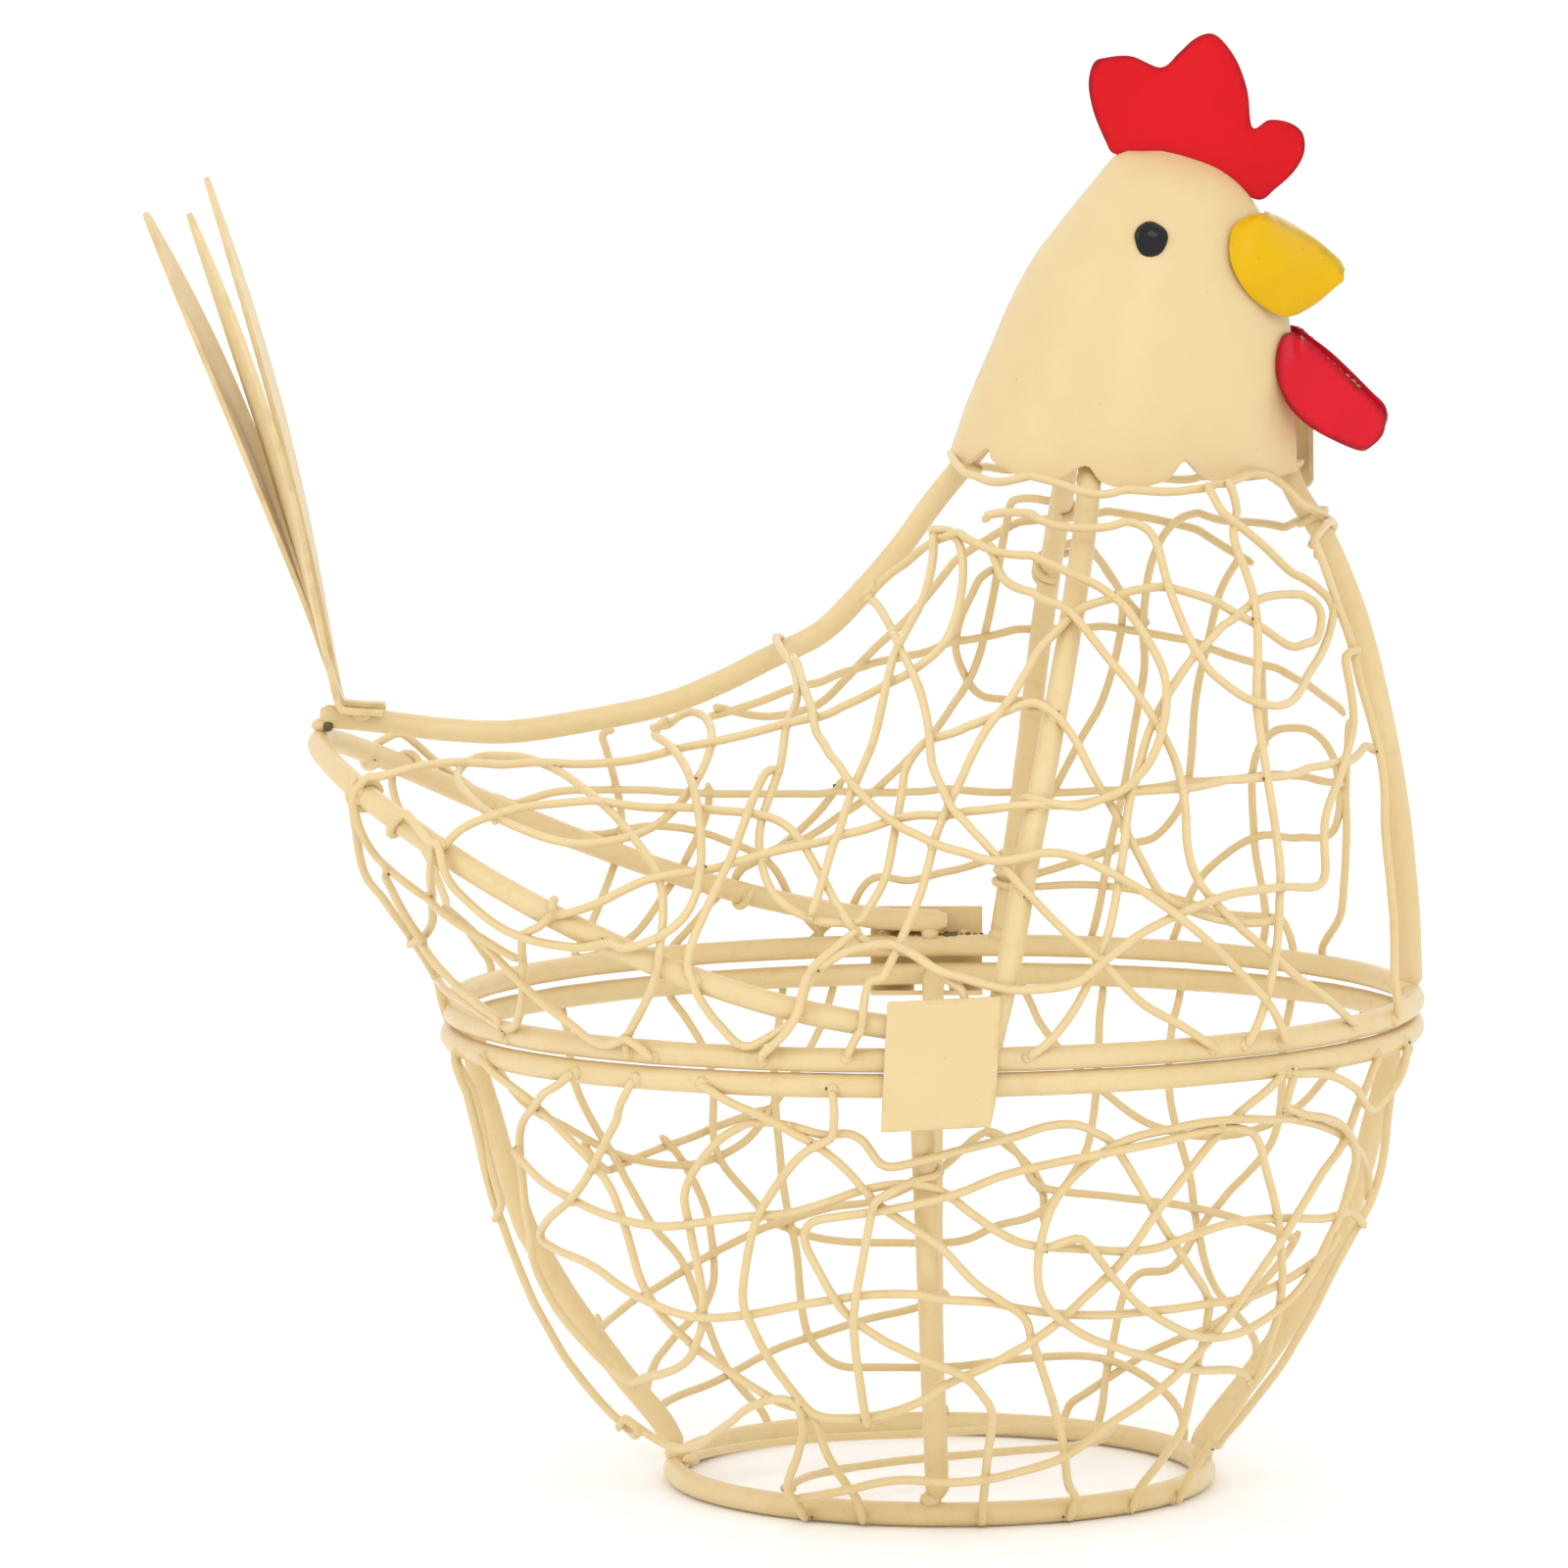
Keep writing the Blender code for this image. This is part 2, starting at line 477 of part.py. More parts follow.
lid_wire("lid_wire_far_2", far(
    (-72, 106), (-63, 108.5), (-50, 108.5), (-38, 107.5), (-20, 107), (-8, 107), (0, 107),
    (14, 106.5), (31, 107.5), (44, 109.5), (56, 111.5), (66, 112), (72, 110)), lid)
lid_wire("lid_wire_far_3", far(
    (-55, 119.5), (-53.5, 112), (-52, 104), (-52.5, 98), (-54, 93), (-57.5, 85), (-60, 80),
    (-50, 83), (-42, 93), (-38.5, 100.5), (-37, 106), (-38, 112.5), (-40.5, 118)), lid)
lid_wire("lid_wire_far_4", far(
    (13.5, 159.5), (12, 149), (10.5, 137), (8, 128), (2.5, 119.5), (-4, 111.5), (-12, 104),
    (-20, 99), (-32, 92.5), (-40, 84), (-44, 80)), lid)
lid_wire("lid_wire_far_5", far(
    (59, 156), (49.5, 156.5), (42, 156.5), (38, 149.5), (36.5, 137), (37, 128), (34.5, 111),
    (32, 98), (30.5, 88), (28.5, 80)), lid)
lid_wire("lid_wire_far_6", far(
    (18.5, 92), (27.5, 95), (35.5, 98), (40, 100), (44, 106.5), (45.5, 117.5), (46.5, 130),
    (49, 143), (52, 150)), lid)
lid_wire("lid_wire_far_7", far(
    (42, 80), (46.5, 91.5), (51, 97), (56.5, 101), (63, 101.5), (68, 103), (68.5, 111),
    (66, 119), (58, 119), (55, 112), (56, 100), (58, 88), (57, 80)), lid)

# ---- head ----
HEAD_ROWS = [   # height, back edge, front edge, half width, gap at the front edge
    (172.5, 3.9, 59.0, 20.5, 3.8), (178, 5.8, 58.9, 19.8, 3.6), (186, 9.2, 58.3, 18.6, 3.2),
    (194, 12.6, 57.4, 17.0, 2.4), (201, 16.4, 56.0, 15.2, 1.6), (206, 20.0, 54.4, 13.2, 1.0),
    (210, 23.0, 52.6, 11.0, 0.9), (213.5, 26.0, 50.0, 8.4, 0.9), (216.3, 28.6, 46.4, 5.4, 0.9),
    (218.2, 30.4, 42.5, 2.8, 0.9), (219.0, 31.6, 40.5, 1.0, 0.9)]
SCALLOPS = [(2.6, 168.7), (5, 168), (7.5, 170.6), (9, 168.5), (14, 166.3), (20, 166.3),
            (24, 168.2), (27, 165.6), (32, 164.6), (37.5, 165.8), (40, 168.8), (43, 166.5),
            (48, 165.3), (54, 165.5), (59.4, 166.4)]
SEAM = 0.9      # half the slit between the two head halves, which the comb stands in


def head_section(z, part):
    """Point of the head's outer face at height z; part runs 0 at the back seam to 1 in front."""
    rows = np.array(HEAD_ROWS)
    if z < rows[0, 0]:
        below = rows[0] + (rows[0] - rows[1]) * (rows[0, 0] - z) / (rows[1, 0] - rows[0, 0])
        back, front, wide, open_front = below[1:]
    else:
        back, front, wide, open_front = [float(np.interp(z, rows[:, 0], rows[:, k]))
                                         for k in range(1, 5)]
    x = back + (front - back) * (1 - cos(pi * part)) / 2
    along = (1 - cos(pi * part)) / 2
    y = SEAM + (wide - SEAM) * sin(pi * along ** 0.85) ** 0.75 + (open_front - SEAM) * along ** 5
    return x, y


def head_width(x, z):
    parts = np.linspace(0, 1, 81)
    line = np.array([head_section(z, p) for p in parts])
    return float(np.interp(x, line[:, 0], line[:, 1]))


def head_shell(name, side):
    parts = np.linspace(0, 1, 21)
    rows = []
    for level in range(len(HEAD_ROWS) + 1):
        row = []
        for p in parts:
            if level == 0:
                x = head_section(167, p)[0]
                z = float(np.interp(x, [s[0] for s in SCALLOPS], [s[1] for s in SCALLOPS]))
            else:
                z = HEAD_ROWS[level - 1][0]
            x, y = head_section(z, p)
            row.append((x, side * y, z))
        rows.append(row if side < 0 else row[::-1])
    return sheet(name, rows, SHELL, lid)


head_shell("head_shell_near", -1)
head_shell("head_shell_far", 1)

COMB = [(30.4, 219.9), (28.5, 221.1), (26.4, 225.6), (25.6, 229.5), (26.4, 232.9),
        (28.5, 233.8), (32.5, 234), (37.3, 232.2), (40.2, 234.5), (42.7, 236.8), (45.3, 237.7),
        (47.4, 236.4), (49.8, 232.9), (51.4, 228.2), (52.2, 222.5), (54.9, 223.7),
        (58.1, 223.3), (60.3, 221.6), (60.6, 218.5), (59, 215.4), (56, 212.6), (53, 210.8),
        (47, 214.4), (41, 216.6), (34, 218.2)]
cut_sheet("comb", COMB, None, 1.0, lid, RED)


def beak(name, side):
    """Half of the folded beak: from the ridge down to the edge that sits on the head."""
    ridge = [(54.3, 208.5, 0.8), (56.2, 208.0, 0.8), (58.8, 206.7, 0.8), (61.1, 205.4, 0.8),
             (63.3, 203.9, 0.8), (65.3, 202.2, 0.8), (66.7, 200.7, 0.8), (67.4, 199.4, 0.8)]
    edge = [(51.5, 208.0, None), (48.5, 205.3, None), (48.0, 201.0, None), (49.6, 197.3, None),
            (52.3, 194.3, None), (56.6, 192.0, 7.2), (62.0, 194.4, 4.4), (66.4, 197.9, 1.8)]
    rows = []
    for (xa, za, ya), (xb, zb, yb) in zip(ridge, edge):
        yb = head_width(xb, zb) + 0.5 if yb is None else yb
        row = []
        for t in (0.0, 0.25, 0.5, 0.75, 1.0):
            swell = 3.4 * sin(pi * t) ** 0.8 * (1 if xa < 62 else 0.5)
            x, z = xa + (xb - xa) * t, za + (zb - za) * t
            row.append((x + 0.35 * swell, side * (ya + (yb - ya) * t + swell), z))
        rows.append(row if side < 0 else row[::-1])
    sheet(name, rows, 0.8, lid, YELLOW, 0.2, offset=1.0)


beak("beak_near", -1)
beak("beak_far", 1)

WATTLE = [(58.6, 189.5), (61.4, 187.6), (64.2, 185.5), (67.5, 182.2), (70.7, 178.7),
          (72.8, 176.2), (73.3, 174), (72.8, 172.1), (71.2, 170.6), (69.3, 170), (64.7, 171.9),
          (60.7, 174.2), (57.8, 177), (56.2, 180), (55.6, 183), (55.9, 186.4), (57, 188.6)]


def wattle(name, side, shift):
    def depth(x, z):
        away = ((189.5 - z) * 0.72 - (x - 58.6 - shift) * 0.70)
        clear = head_width(x, z) + 1.0 if x < 59.5 and z < 191 else 0.0
        return side * max(1.6 + 0.86 * max(0.0, away), clear)
    cut_sheet(name, [(x + shift, z + shift) for x, z in WATTLE], depth, 0.8, lid, RED)


wattle("wattle_near", -1, 0.0)
wattle("wattle_far", 1, 1.4)


def eye(name, side):
    """Glossy flat-backed button on the side of the head."""
    mesh = bpy.data.meshes.new(name)
    bm = bmesh.new()
    bmesh.ops.create_uvsphere(bm, u_segments=16, v_segments=10, radius=1.0)
    spot = (35.3, side * (head_width(35.3, 205) + 0.9), 205.0)
    lean = 0.32
    for vert in bm.verts:
        x, y, z = vert.co
        out = max(0.0, -y) if side < 0 else max(0.0, y)
        vert.co = place([(spot[0] + 2.7 * x, spot[1] + side * (1.5 * out - lean * 2.8 * z),
                          spot[2] + 2.85 * z)])[0]
    bmesh.ops.remove_doubles(bm, verts=bm.verts, dist=1e-6)
    bm.to_mesh(mesh)
    bm.free()
    finish(bpy.data.objects.new(name, mesh), lid, BLACK, 0.1)


eye("eye_near", -1)
eye("eye_far", 1)

# ---- tail ----
def feather(name, y, fan, lean, length, yaw):
    """Leaf blade with its foot bent forward over the spine's end."""
    stations = [(0.0, 2.1), (6, 2.1), (12, 2.7), (20, 4.2), (32, 6.2), (44, 7.3), (54, 7.4),
                (64, 6.6), (73, 4.9), (80, 2.8), (85, 0.7)]
    rows = [[(-91.5, y - 2.1, 128.9), (-91.5, y, 128.9), (-91.5, y + 2.1, 128.9)],
            [(-95.4, y - 2.1, 128.8), (-95.4, y, 128.8), (-95.4, y + 2.1, 128.8)],
            [(-97.0, y - 2.1, 129.6), (-97.0, y, 129.6), (-97.0, y + 2.1, 129.6)]]
    for s, half in stations[1:]:
        s = s * length / 85
        back = -97.2 - s * sin(radians(lean)) - 3.0 * sin(pi * s / length) * -0.6
        up = 129.4 + s * cos(radians(lean))
        mid = y + fan * (s / length) ** 1.3
        turn = yaw * min(1.0, s / 30)
        rows.append([(back + turn * k * half, mid + k * half, up) for k in (-1, 0, 1)])
    sheet(name, rows, SHEET, lid, offset=1.0)


feather("tail_feather_near", -5.0, -7.0, 16.1, 83.4, -0.22)
feather("tail_feather_middle", 0.0, 0.0, 22.2, 85.3, 0.0)
feather("tail_feather_far", 5.0, 7.0, 14.4, 88.8, 0.1)

# ---- hinge and catch plates ----
def hinge_plate():
    """Plate welded outside the lid ring and curled under the basket rim ring, slit for the rib."""
    profile = [(CURL_R, 86.4), (CURL_R, 80.8), (CURL_R, BASKET_RIM_Z + 1.2)]
    for turn in (0, -18, -36, -54, -72, -90, -106):
        a = radians(turn)
        profile.append((CURL_R * cos(a), BASKET_RIM_Z + CURL_R * sin(a)))
    rows = [[(x, HINGE_Y + y, z) for x in (-9.2, -1.6, 4.4, 10.2)] for y, z in profile]
    slit = [(i, 1) for i in range(2, len(profile) - 1)]
    sheet("hinge_plate", rows, SHEET, lid, skip=slit, offset=1.0)


def catch_plate():
    rows = []
    for z in (89.2, 79.2, 68.9):
        rows.append([(x + 0.05 * (z - 79), -(RIM_R + ROD_R + GAP), z + 0.05 * x)
                     for x in (8.8, 0.0, -8.8)])
    sheet("catch_plate", rows, SHEET, lid, offset=1.0)


hinge_plate()
catch_plate()

# ---- floor wire of the basket ----
def floor_wire():
    """Low wires that cross the base ring, laid inside it in one bent length."""
    spots = [(-38.5, -5), (-30, 6), (-16, 14), (0, 18), (18, 24), (30, 22), (26, 8), (12, 0),
             (-4, -8), (-18, -20), (-22, -30)]
    line = smooth([(x, y, 5.0) for x, y in spots], 44)
    tube("basket_floor_wire", line, WIRE_R, basket, sides=6)


floor_wire()
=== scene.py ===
"""Looks of the hen-shaped wire egg basket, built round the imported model."""

import json
from math import acos, cos, pi, radians, sin, sqrt

import bmesh
import bpy
import numpy as np
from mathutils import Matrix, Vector

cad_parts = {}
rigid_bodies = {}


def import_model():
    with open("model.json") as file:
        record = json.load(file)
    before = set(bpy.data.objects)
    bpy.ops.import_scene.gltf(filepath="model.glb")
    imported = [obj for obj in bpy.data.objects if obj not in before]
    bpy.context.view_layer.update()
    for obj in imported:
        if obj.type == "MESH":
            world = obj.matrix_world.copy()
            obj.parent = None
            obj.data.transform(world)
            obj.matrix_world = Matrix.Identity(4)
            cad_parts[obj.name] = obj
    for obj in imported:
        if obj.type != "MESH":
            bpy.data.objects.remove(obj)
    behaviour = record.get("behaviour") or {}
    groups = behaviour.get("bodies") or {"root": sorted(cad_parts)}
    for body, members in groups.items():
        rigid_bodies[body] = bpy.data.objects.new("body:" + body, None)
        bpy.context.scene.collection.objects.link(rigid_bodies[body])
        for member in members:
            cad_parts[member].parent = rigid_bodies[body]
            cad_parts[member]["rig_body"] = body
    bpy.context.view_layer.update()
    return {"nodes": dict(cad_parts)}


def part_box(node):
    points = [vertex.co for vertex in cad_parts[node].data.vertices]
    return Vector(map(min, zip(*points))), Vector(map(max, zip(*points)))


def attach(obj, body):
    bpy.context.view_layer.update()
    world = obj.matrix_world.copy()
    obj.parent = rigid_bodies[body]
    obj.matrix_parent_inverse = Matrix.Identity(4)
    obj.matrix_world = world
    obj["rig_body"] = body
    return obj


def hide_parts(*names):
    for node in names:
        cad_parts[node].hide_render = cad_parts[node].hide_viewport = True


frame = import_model()

# ==== Frame rods ============================================================================
# Drawn iron rod 4 mm thick: two round rim rings, a small base ring and four upright ribs for
# the bowl; a bent tail hoop, a spine, a breast rib and two side ribs for the lid. The rods are
# cut square, butt welded to each other and painted cream.

rim_low, rim_high = (np.array(corner) * 1000 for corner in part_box("basket_rim_ring"))
AXIS_X, AXIS_Y = (rim_low[:2] + rim_high[:2]) / 2     # upright axis of the rings, mm
ROD_R = 1.95
RIM_R = 78.6
HINGE_Z = (rim_low[2] + rim_high[2]) / 2
BASKET_RIM_Z = HINGE_Z + 0.3
LID_RIM_Z = sum(corner[2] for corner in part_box("lid_rim_ring")) * 500 - 0.15
BASE_R, BASE_Z = 43.5, ROD_R + 0.1
BASKET_TILT = (0.0115, -0.0038)    # slope towards the head and towards the hinge
LID_TILT = (0.0100, 0.0025)


def run_along(line):
    """Distance along a line of points, at each of them."""
    return np.concatenate([[0], np.cumsum(np.linalg.norm(np.diff(line, axis=0), axis=1))])


def bend(a, b, c, d, t):
    """Smooth curve from b to c, where a comes before them and d after."""
    return 0.5 * (2 * b + (c - a) * t + (2 * a - 5 * b + 4 * c - d) * t ** 2
                  + (3 * b - a - 3 * c + d) * t ** 3)


def even_steps(line, count, closed=False):
    along = run_along(line)
    at = np.linspace(0, along[-1], count, endpoint=not closed)
    return np.column_stack([np.interp(at, along, column) for column in line.T])


def smooth(points, count):
    """Smooth curve through given points, resampled at equal steps."""
    p = np.array(points, float)
    p = np.vstack([2 * p[0] - p[1], p, 2 * p[-1] - p[-2]])
    t = np.linspace(0, 1, 13)[:-1, None]
    runs = [bend(*four, t) for four in zip(p[:-3], p[1:-2], p[2:-1], p[3:])]
    return even_steps(np.vstack(runs + [p[-2:-1]]), count)


def ring_line(radius, z, x_shift=0.0, tilt=(0.0, 0.0)):
    """Round ring, tilted by a slope towards the head and towards the hinge."""
    turn = np.linspace(0, 2 * pi, 144, endpoint=False)
    return np.column_stack([radius * np.cos(turn) + x_shift, radius * np.sin(turn),
                            z + tilt[0] * radius * np.cos(turn)
                            + tilt[1] * radius * np.sin(turn)])


def rib_line(turn, twist):
    """Bowl rib: inside the rim ring at the top, curving in to stand on the base ring."""
    rows = []
    for r, z in smooth([(74.9, 76.0), (74.7, 68.5), (72.4, 60), (70.7, 53.5), (67.6, 43),
                        (65.4, 38.6), (60.2, 29.6), (51.8, 17.6), (45.6, 9.8), (43.2, 5.0)], 60):
        a = radians(turn + twist * (74.5 - z) / 68)
        rows.append((r * cos(a) + 1.4 * (1 - z / 74.5), r * sin(a), z))
    return np.array(rows)


def hoop_at(x):
    """Half width and height of the tail hoop at x."""
    back = min(max(-x / 100, 0.0), 1.0)
    return 78.4 * sqrt(max(0.0, 1 - back ** 2)), 84.0 + 37.9 * back ** 1.7


SPINE = [(-100, 126.2), (-91, 125.4), (-80, 124), (-69, 123.6), (-57, 125.3), (-44, 128),
         (-35, 131.5), (-27, 135.5), (-18, 140), (-11, 147), (-5, 154), (0, 161), (4, 167),
         (15, 176), (30, 180), (45, 176), (59, 163), (64, 155), (69, 143), (73, 128),
         (76, 112), (78.7, 79)]
hoop_half = [(x, *hoop_at(x)) for x in (4, -8, -24, -40, -56, -70, -82, -91, -97, -99.6)]
side_ribs = {
    "near": [(7.6, -78.6, 81.2), (10.6, -76.6, 94), (13.6, -71.3, 110), (17, -63.3, 126),
             (20.2, -51.5, 141), (22.8, -36, 153.5), (24.2, -24.5, 160.5), (25.2, -14.8, 168.5)],
    "far": [(13.2, 78.6, 81.2), (15.1, 76.6, 94), (17.1, 71.3, 110), (18.6, 63.3, 126),
            (20, 51.5, 141), (21.2, 36, 153.5), (21.9, 24.5, 160.5), (22.5, 14.8, 168.5)]}
rods = {
    "basket_rim_ring": ("basket", ring_line(RIM_R, BASKET_RIM_Z, 0.0, BASKET_TILT), True),
    "basket_base_ring": ("basket", ring_line(BASE_R, BASE_Z, 1.4), True),
    "basket_rib_tail": ("basket", rib_line(180, 0), False),
    "basket_rib_breast": ("basket", rib_line(0, 0), False),
    "basket_rib_near": ("basket", rib_line(-92.2, 0.8), False),
    "basket_rib_far": ("basket", rib_line(88.8, 1.4), False),
    "lid_rim_ring": ("lid", ring_line(RIM_R, LID_RIM_Z, 0.0, LID_TILT), True),
    "lid_tail_hoop": ("lid", smooth([(x, -y, z) for x, y, z in hoop_half]
                                    + [(-100, 0, hoop_at(-100)[1])]
                                    + [(x, y, z) for x, y, z in hoop_half[::-1]], 150), False),
    "lid_spine": ("lid", smooth([(x, 0, z) for x, z in SPINE[:12]]
                                + [(4.2, 0, 166.2), (8.5, 0, 171.5)], 110), False),
    "lid_breast_rib": ("lid", smooth([(78.5, 0, 81.8), (77.8, 0, 96), (76, 0, 112),
                                      (73, 0, 128), (69, 0, 143), (64, 0, 155),
                                      (59.4, 0, 162.5), (56.8, 0, 169)], 80), False),
    "lid_rib_near": ("lid", smooth(side_ribs["near"], 90), False),
    "lid_rib_far": ("lid", smooth(side_ribs["far"], 90), False),
}


def wired(tree, node, sockets):
    """Give each socket of a node its value, or link another node's output to it."""
    for label, value in sockets.items():
        if isinstance(value, bpy.types.NodeSocket):
            tree.links.new(value, node.inputs[label])
        else:
            node.inputs[label].default_value = value


def planted(tree, kind, sockets=None, **settings):
    """Add a node to a tree and wire it. Gives the node's outputs."""
    node = tree.nodes.new(kind)
    for label, value in settings.items():
        setattr(node, label, value)
    wired(tree, node, sockets or {})
    return node.outputs


class Finish:
    """A new material, with the few kinds of node that every finish here is made from."""

    def __init__(self, name):
        self.material = bpy.data.materials.new(name)
        self.material.use_nodes = True
        self.tree = self.material.node_tree
        self.place = planted(self.tree, "ShaderNodeTexCoord")["Object"]

    def noise(self, scale, detail, rough=0.5):
        return planted(self.tree, "ShaderNodeTexNoise", {
            "Vector": self.place, "Scale": scale, "Detail": detail, "Roughness": rough})["Fac"]

    def ramp(self, value, low, high, first, last):
        return planted(self.tree, "ShaderNodeMapRange", {
            "Value": value, "From Min": low, "From Max": high, "To Min": first,
            "To Max": last})["Result"]

    def mix(self, factor, first, second):
        first, second = ((*c, 1.0) if isinstance(c, tuple) else c for c in (first, second))
        return planted(self.tree, "ShaderNodeMix", {"Factor": factor, "A": first, "B": second},
                       data_type="RGBA")["Result"]

    def mark(self, label):
        return planted(self.tree, "ShaderNodeAttribute", attribute_name=label)["Fac"]

    def times(self, first, second):
        return planted(self.tree, "ShaderNodeMath", {0: first, 1: second},
                       operation="MULTIPLY")[0]

    def bump(self, height, strength, distance, under=None):
        sockets = {"Height": height, "Strength": strength, "Distance": distance}
        if under:
            sockets["Normal"] = under
        return planted(self.tree, "ShaderNodeBump", sockets)["Normal"]

    def done(self, sockets):
        wired(self.tree, self.tree.nodes["Principled BSDF"], sockets)
        return self.material


def cream_paint(name, wide, blotch):
    """Satin cream enamel: faint blotches, orange peel, worn edges, brown painted shade in the weld
    corners.
    """
    f = Finish(name)
    tone = f.mix(f.ramp(f.noise(wide, 4), 0.35, 0.68, 0, 1), (0.745, 0.580, 0.305),
                 (0.715, 0.545, 0.268))
    tone = f.mix(f.ramp(f.noise(wide * 7, 3), 0.55, 0.8, 0, blotch), tone, (0.64, 0.470, 0.205))
    worn = f.times(f.mark("cut_edge"), f.ramp(f.noise(260, 4), 0.45, 0.65, 0.0, 0.4))
    tone = f.mix(worn, tone, (0.47, 0.36, 0.15))
    # Painted shade: close to each weld the cream turns olive brown, standing in for the shade in
    # the corner between the crossing lengths.
    nook = f.mark("nook")
    shade = f.times(nook, f.ramp(f.noise(420, 3), 0.45, 0.7, 0.0, 0.6))
    tone = f.mix(shade, tone, (0.44, 0.33, 0.12))
    pin = f.times(f.ramp(nook, 0.7, 1.0, 0, 1), f.ramp(f.noise(900, 2), 0.66, 0.71, 0, 1))
    tone = f.mix(pin, tone, (0.045, 0.028, 0.012))
    tone = f.mix(f.ramp(f.noise(1500, 1), 0.79, 0.82, 0, 0.5), tone, (0.30, 0.20, 0.07))
    peel = f.bump(f.noise(1100, 3, 0.6), 0.35, 0.00012)
    return f.done({"Base Color": tone, "Coat Weight": 0.18, "Coat Roughness": 0.22,
                   "Roughness": f.ramp(f.noise(240, 3), 0.3, 0.7, 0.34, 0.50),
                   "Normal": f.bump(f.noise(190, 2), 0.5, 0.0004, under=peel)})


cream = cream_paint("cream_enamel", 55.0, 0.5)
smooth_cream = cream_paint("cream_enamel_on_sheet", 30.0, 0.12)


def tree_with(name, sockets):
    """Empty Geometry Nodes tree with a geometry input and output and the named inputs."""
    tree = bpy.data.node_groups.new(name, "GeometryNodeTree")
    tree.interface.new_socket("Geometry", in_out="INPUT", socket_type="NodeSocketGeometry")
    for label, kind, value in sockets:
        socket = tree.interface.new_socket(label, in_out="INPUT", socket_type=kind)
        if value is not None:
            socket.default_value = value
    tree.interface.new_socket("Geometry", in_out="OUTPUT", socket_type="NodeSocketGeometry")
    return tree, tree.nodes.new("NodeGroupInput").outputs


def stored(tree, label, kind="FLOAT"):
    return planted(tree, "GeometryNodeInputNamedAttribute", {"Name": label},
                   data_type=kind)["Attribute"]


def product(tree, first, second, operation="MULTIPLY"):
    return planted(tree, "ShaderNodeMath", {0: first, 1: second}, operation=operation)[0]


def roughened(tree, mesh, grain, middle, amount):
    """Push a surface in and out along its normals by the grain, and shade it smooth."""
    push = product(tree, product(tree, grain, middle, "SUBTRACT"), amount)
    normal = planted(tree, "GeometryNodeInputNormal")["Normal"]
    offset = planted(tree, "ShaderNodeVectorMath", {0: normal, "Scale": push},
                     operation="SCALE")["Vector"]
    moved = planted(tree, "GeometryNodeSetPosition", {"Geometry": mesh, "Offset": offset})
    return planted(tree, "GeometryNodeSetShadeSmooth", {"Geometry": moved["Geometry"]})["Geometry"]


def realized(tree, geometry, paint):
    """End of a tree: plain geometry in its paint."""
    plain = planted(tree, "GeometryNodeRealizeInstances", {"Geometry": geometry})["Geometry"]
    coat = planted(tree, "GeometryNodeSetMaterial", {"Geometry": plain, "Material": paint})
    planted(tree, "NodeGroupOutput", {"Geometry": coat["Geometry"]})


def painted_round_tree():
    """A round wire swept along a line of edges, with paint of slightly uneven thickness."""
    tree, start = tree_with("painted_round_wire", [
        ("Radius", "NodeSocketFloat", 0.001), ("Sides", "NodeSocketInt", 16),
        ("Unevenness", "NodeSocketFloat", 0.0001), ("Grain", "NodeSocketFloat", 160.0),
        ("Seed", "NodeSocketFloat", 1.0), ("Paint", "NodeSocketMaterial", None)])
    line = planted(tree, "GeometryNodeMeshToCurve", {"Mesh": start["Geometry"]})["Curve"]
    circle = planted(tree, "GeometryNodeCurvePrimitiveCircle", {
        "Radius": start["Radius"], "Resolution": start["Sides"]})["Curve"]
    sweep = planted(tree, "GeometryNodeCurveToMesh", {
        "Curve": line, "Profile Curve": circle, "Fill Caps": True,
        "Scale": stored(tree, "thick")})["Mesh"]
    grain = planted(tree, "ShaderNodeTexNoise", {"Scale": start["Grain"], "W": start["Seed"]},
                    noise_dimensions="4D")["Fac"]
    realized(tree, roughened(tree, sweep, grain, 0.62, start["Unevenness"]), start["Paint"])
    return tree


def placed(name, data):
    obj = bpy.data.objects.new(name, data)
    bpy.context.scene.collection.objects.link(obj)
    return obj


def plain_mesh(obj):
    """The object's mesh with its modifiers applied."""
    graph = bpy.context.evaluated_depsgraph_get()
    mesh = bpy.data.meshes.new_from_object(obj.evaluated_get(graph))
    obj.modifiers.clear()
    return mesh


def grown(name, guide, tree, values):
    """Run a tree on a guide mesh and keep the result as a plain mesh object."""
    carrier = placed(name + "_guide", guide)
    run = carrier.modifiers.new("Grow", "NODES")
    run.node_group = tree
    for item in tree.interface.items_tree:
        if item.in_out == "INPUT" and item.name in values:
            run[item.identifier] = values[item.name]
    mesh = plain_mesh(carrier)
    bpy.data.objects.remove(carrier, do_unlink=True)
    mesh.name = name
    return placed(name, mesh)


def in_frame(points):
    """Millimetres from the ring axis to metres in the model's frame."""
    return (np.array(points, float) + (AXIS_X, AXIS_Y, 0)) / 1000


def store(mesh, label, values, kind="FLOAT"):
    """Keep one value, or one direction, for each point of a mesh."""
    mark = mesh.attributes.get(label) or mesh.attributes.new(label, kind, "POINT")
    mark.data.foreach_set("value" if kind == "FLOAT" else "vector",
                          np.array(values, np.float32).ravel())


def guide_line(name, line, closed, soft_end):
    """Line of edges whose thick attribute rounds the two cut ends off."""
    count = len(line)
    mesh = bpy.data.meshes.new(name + "_line")
    edges = [(i, i + 1) for i in range(count - 1)] + ([(count - 1, 0)] if closed else [])
    mesh.from_pydata([tuple(v) for v in in_frame(line)], edges, [])
    scale = np.ones(count)
    if not closed:
        run = run_along(line)
        for near_end in (run, run[-1] - run):
            scale = np.minimum(scale, 0.62 + 0.38 * np.clip(near_end / soft_end, 0, 1) ** 0.5)
    store(mesh, "thick", scale)
    return mesh


round_wire = painted_round_tree()
welds = []          # (spot in mm, outward direction, size, body) of every weld
laid = []           # (dense centre line, radius, body, name) of every rod and wire so far


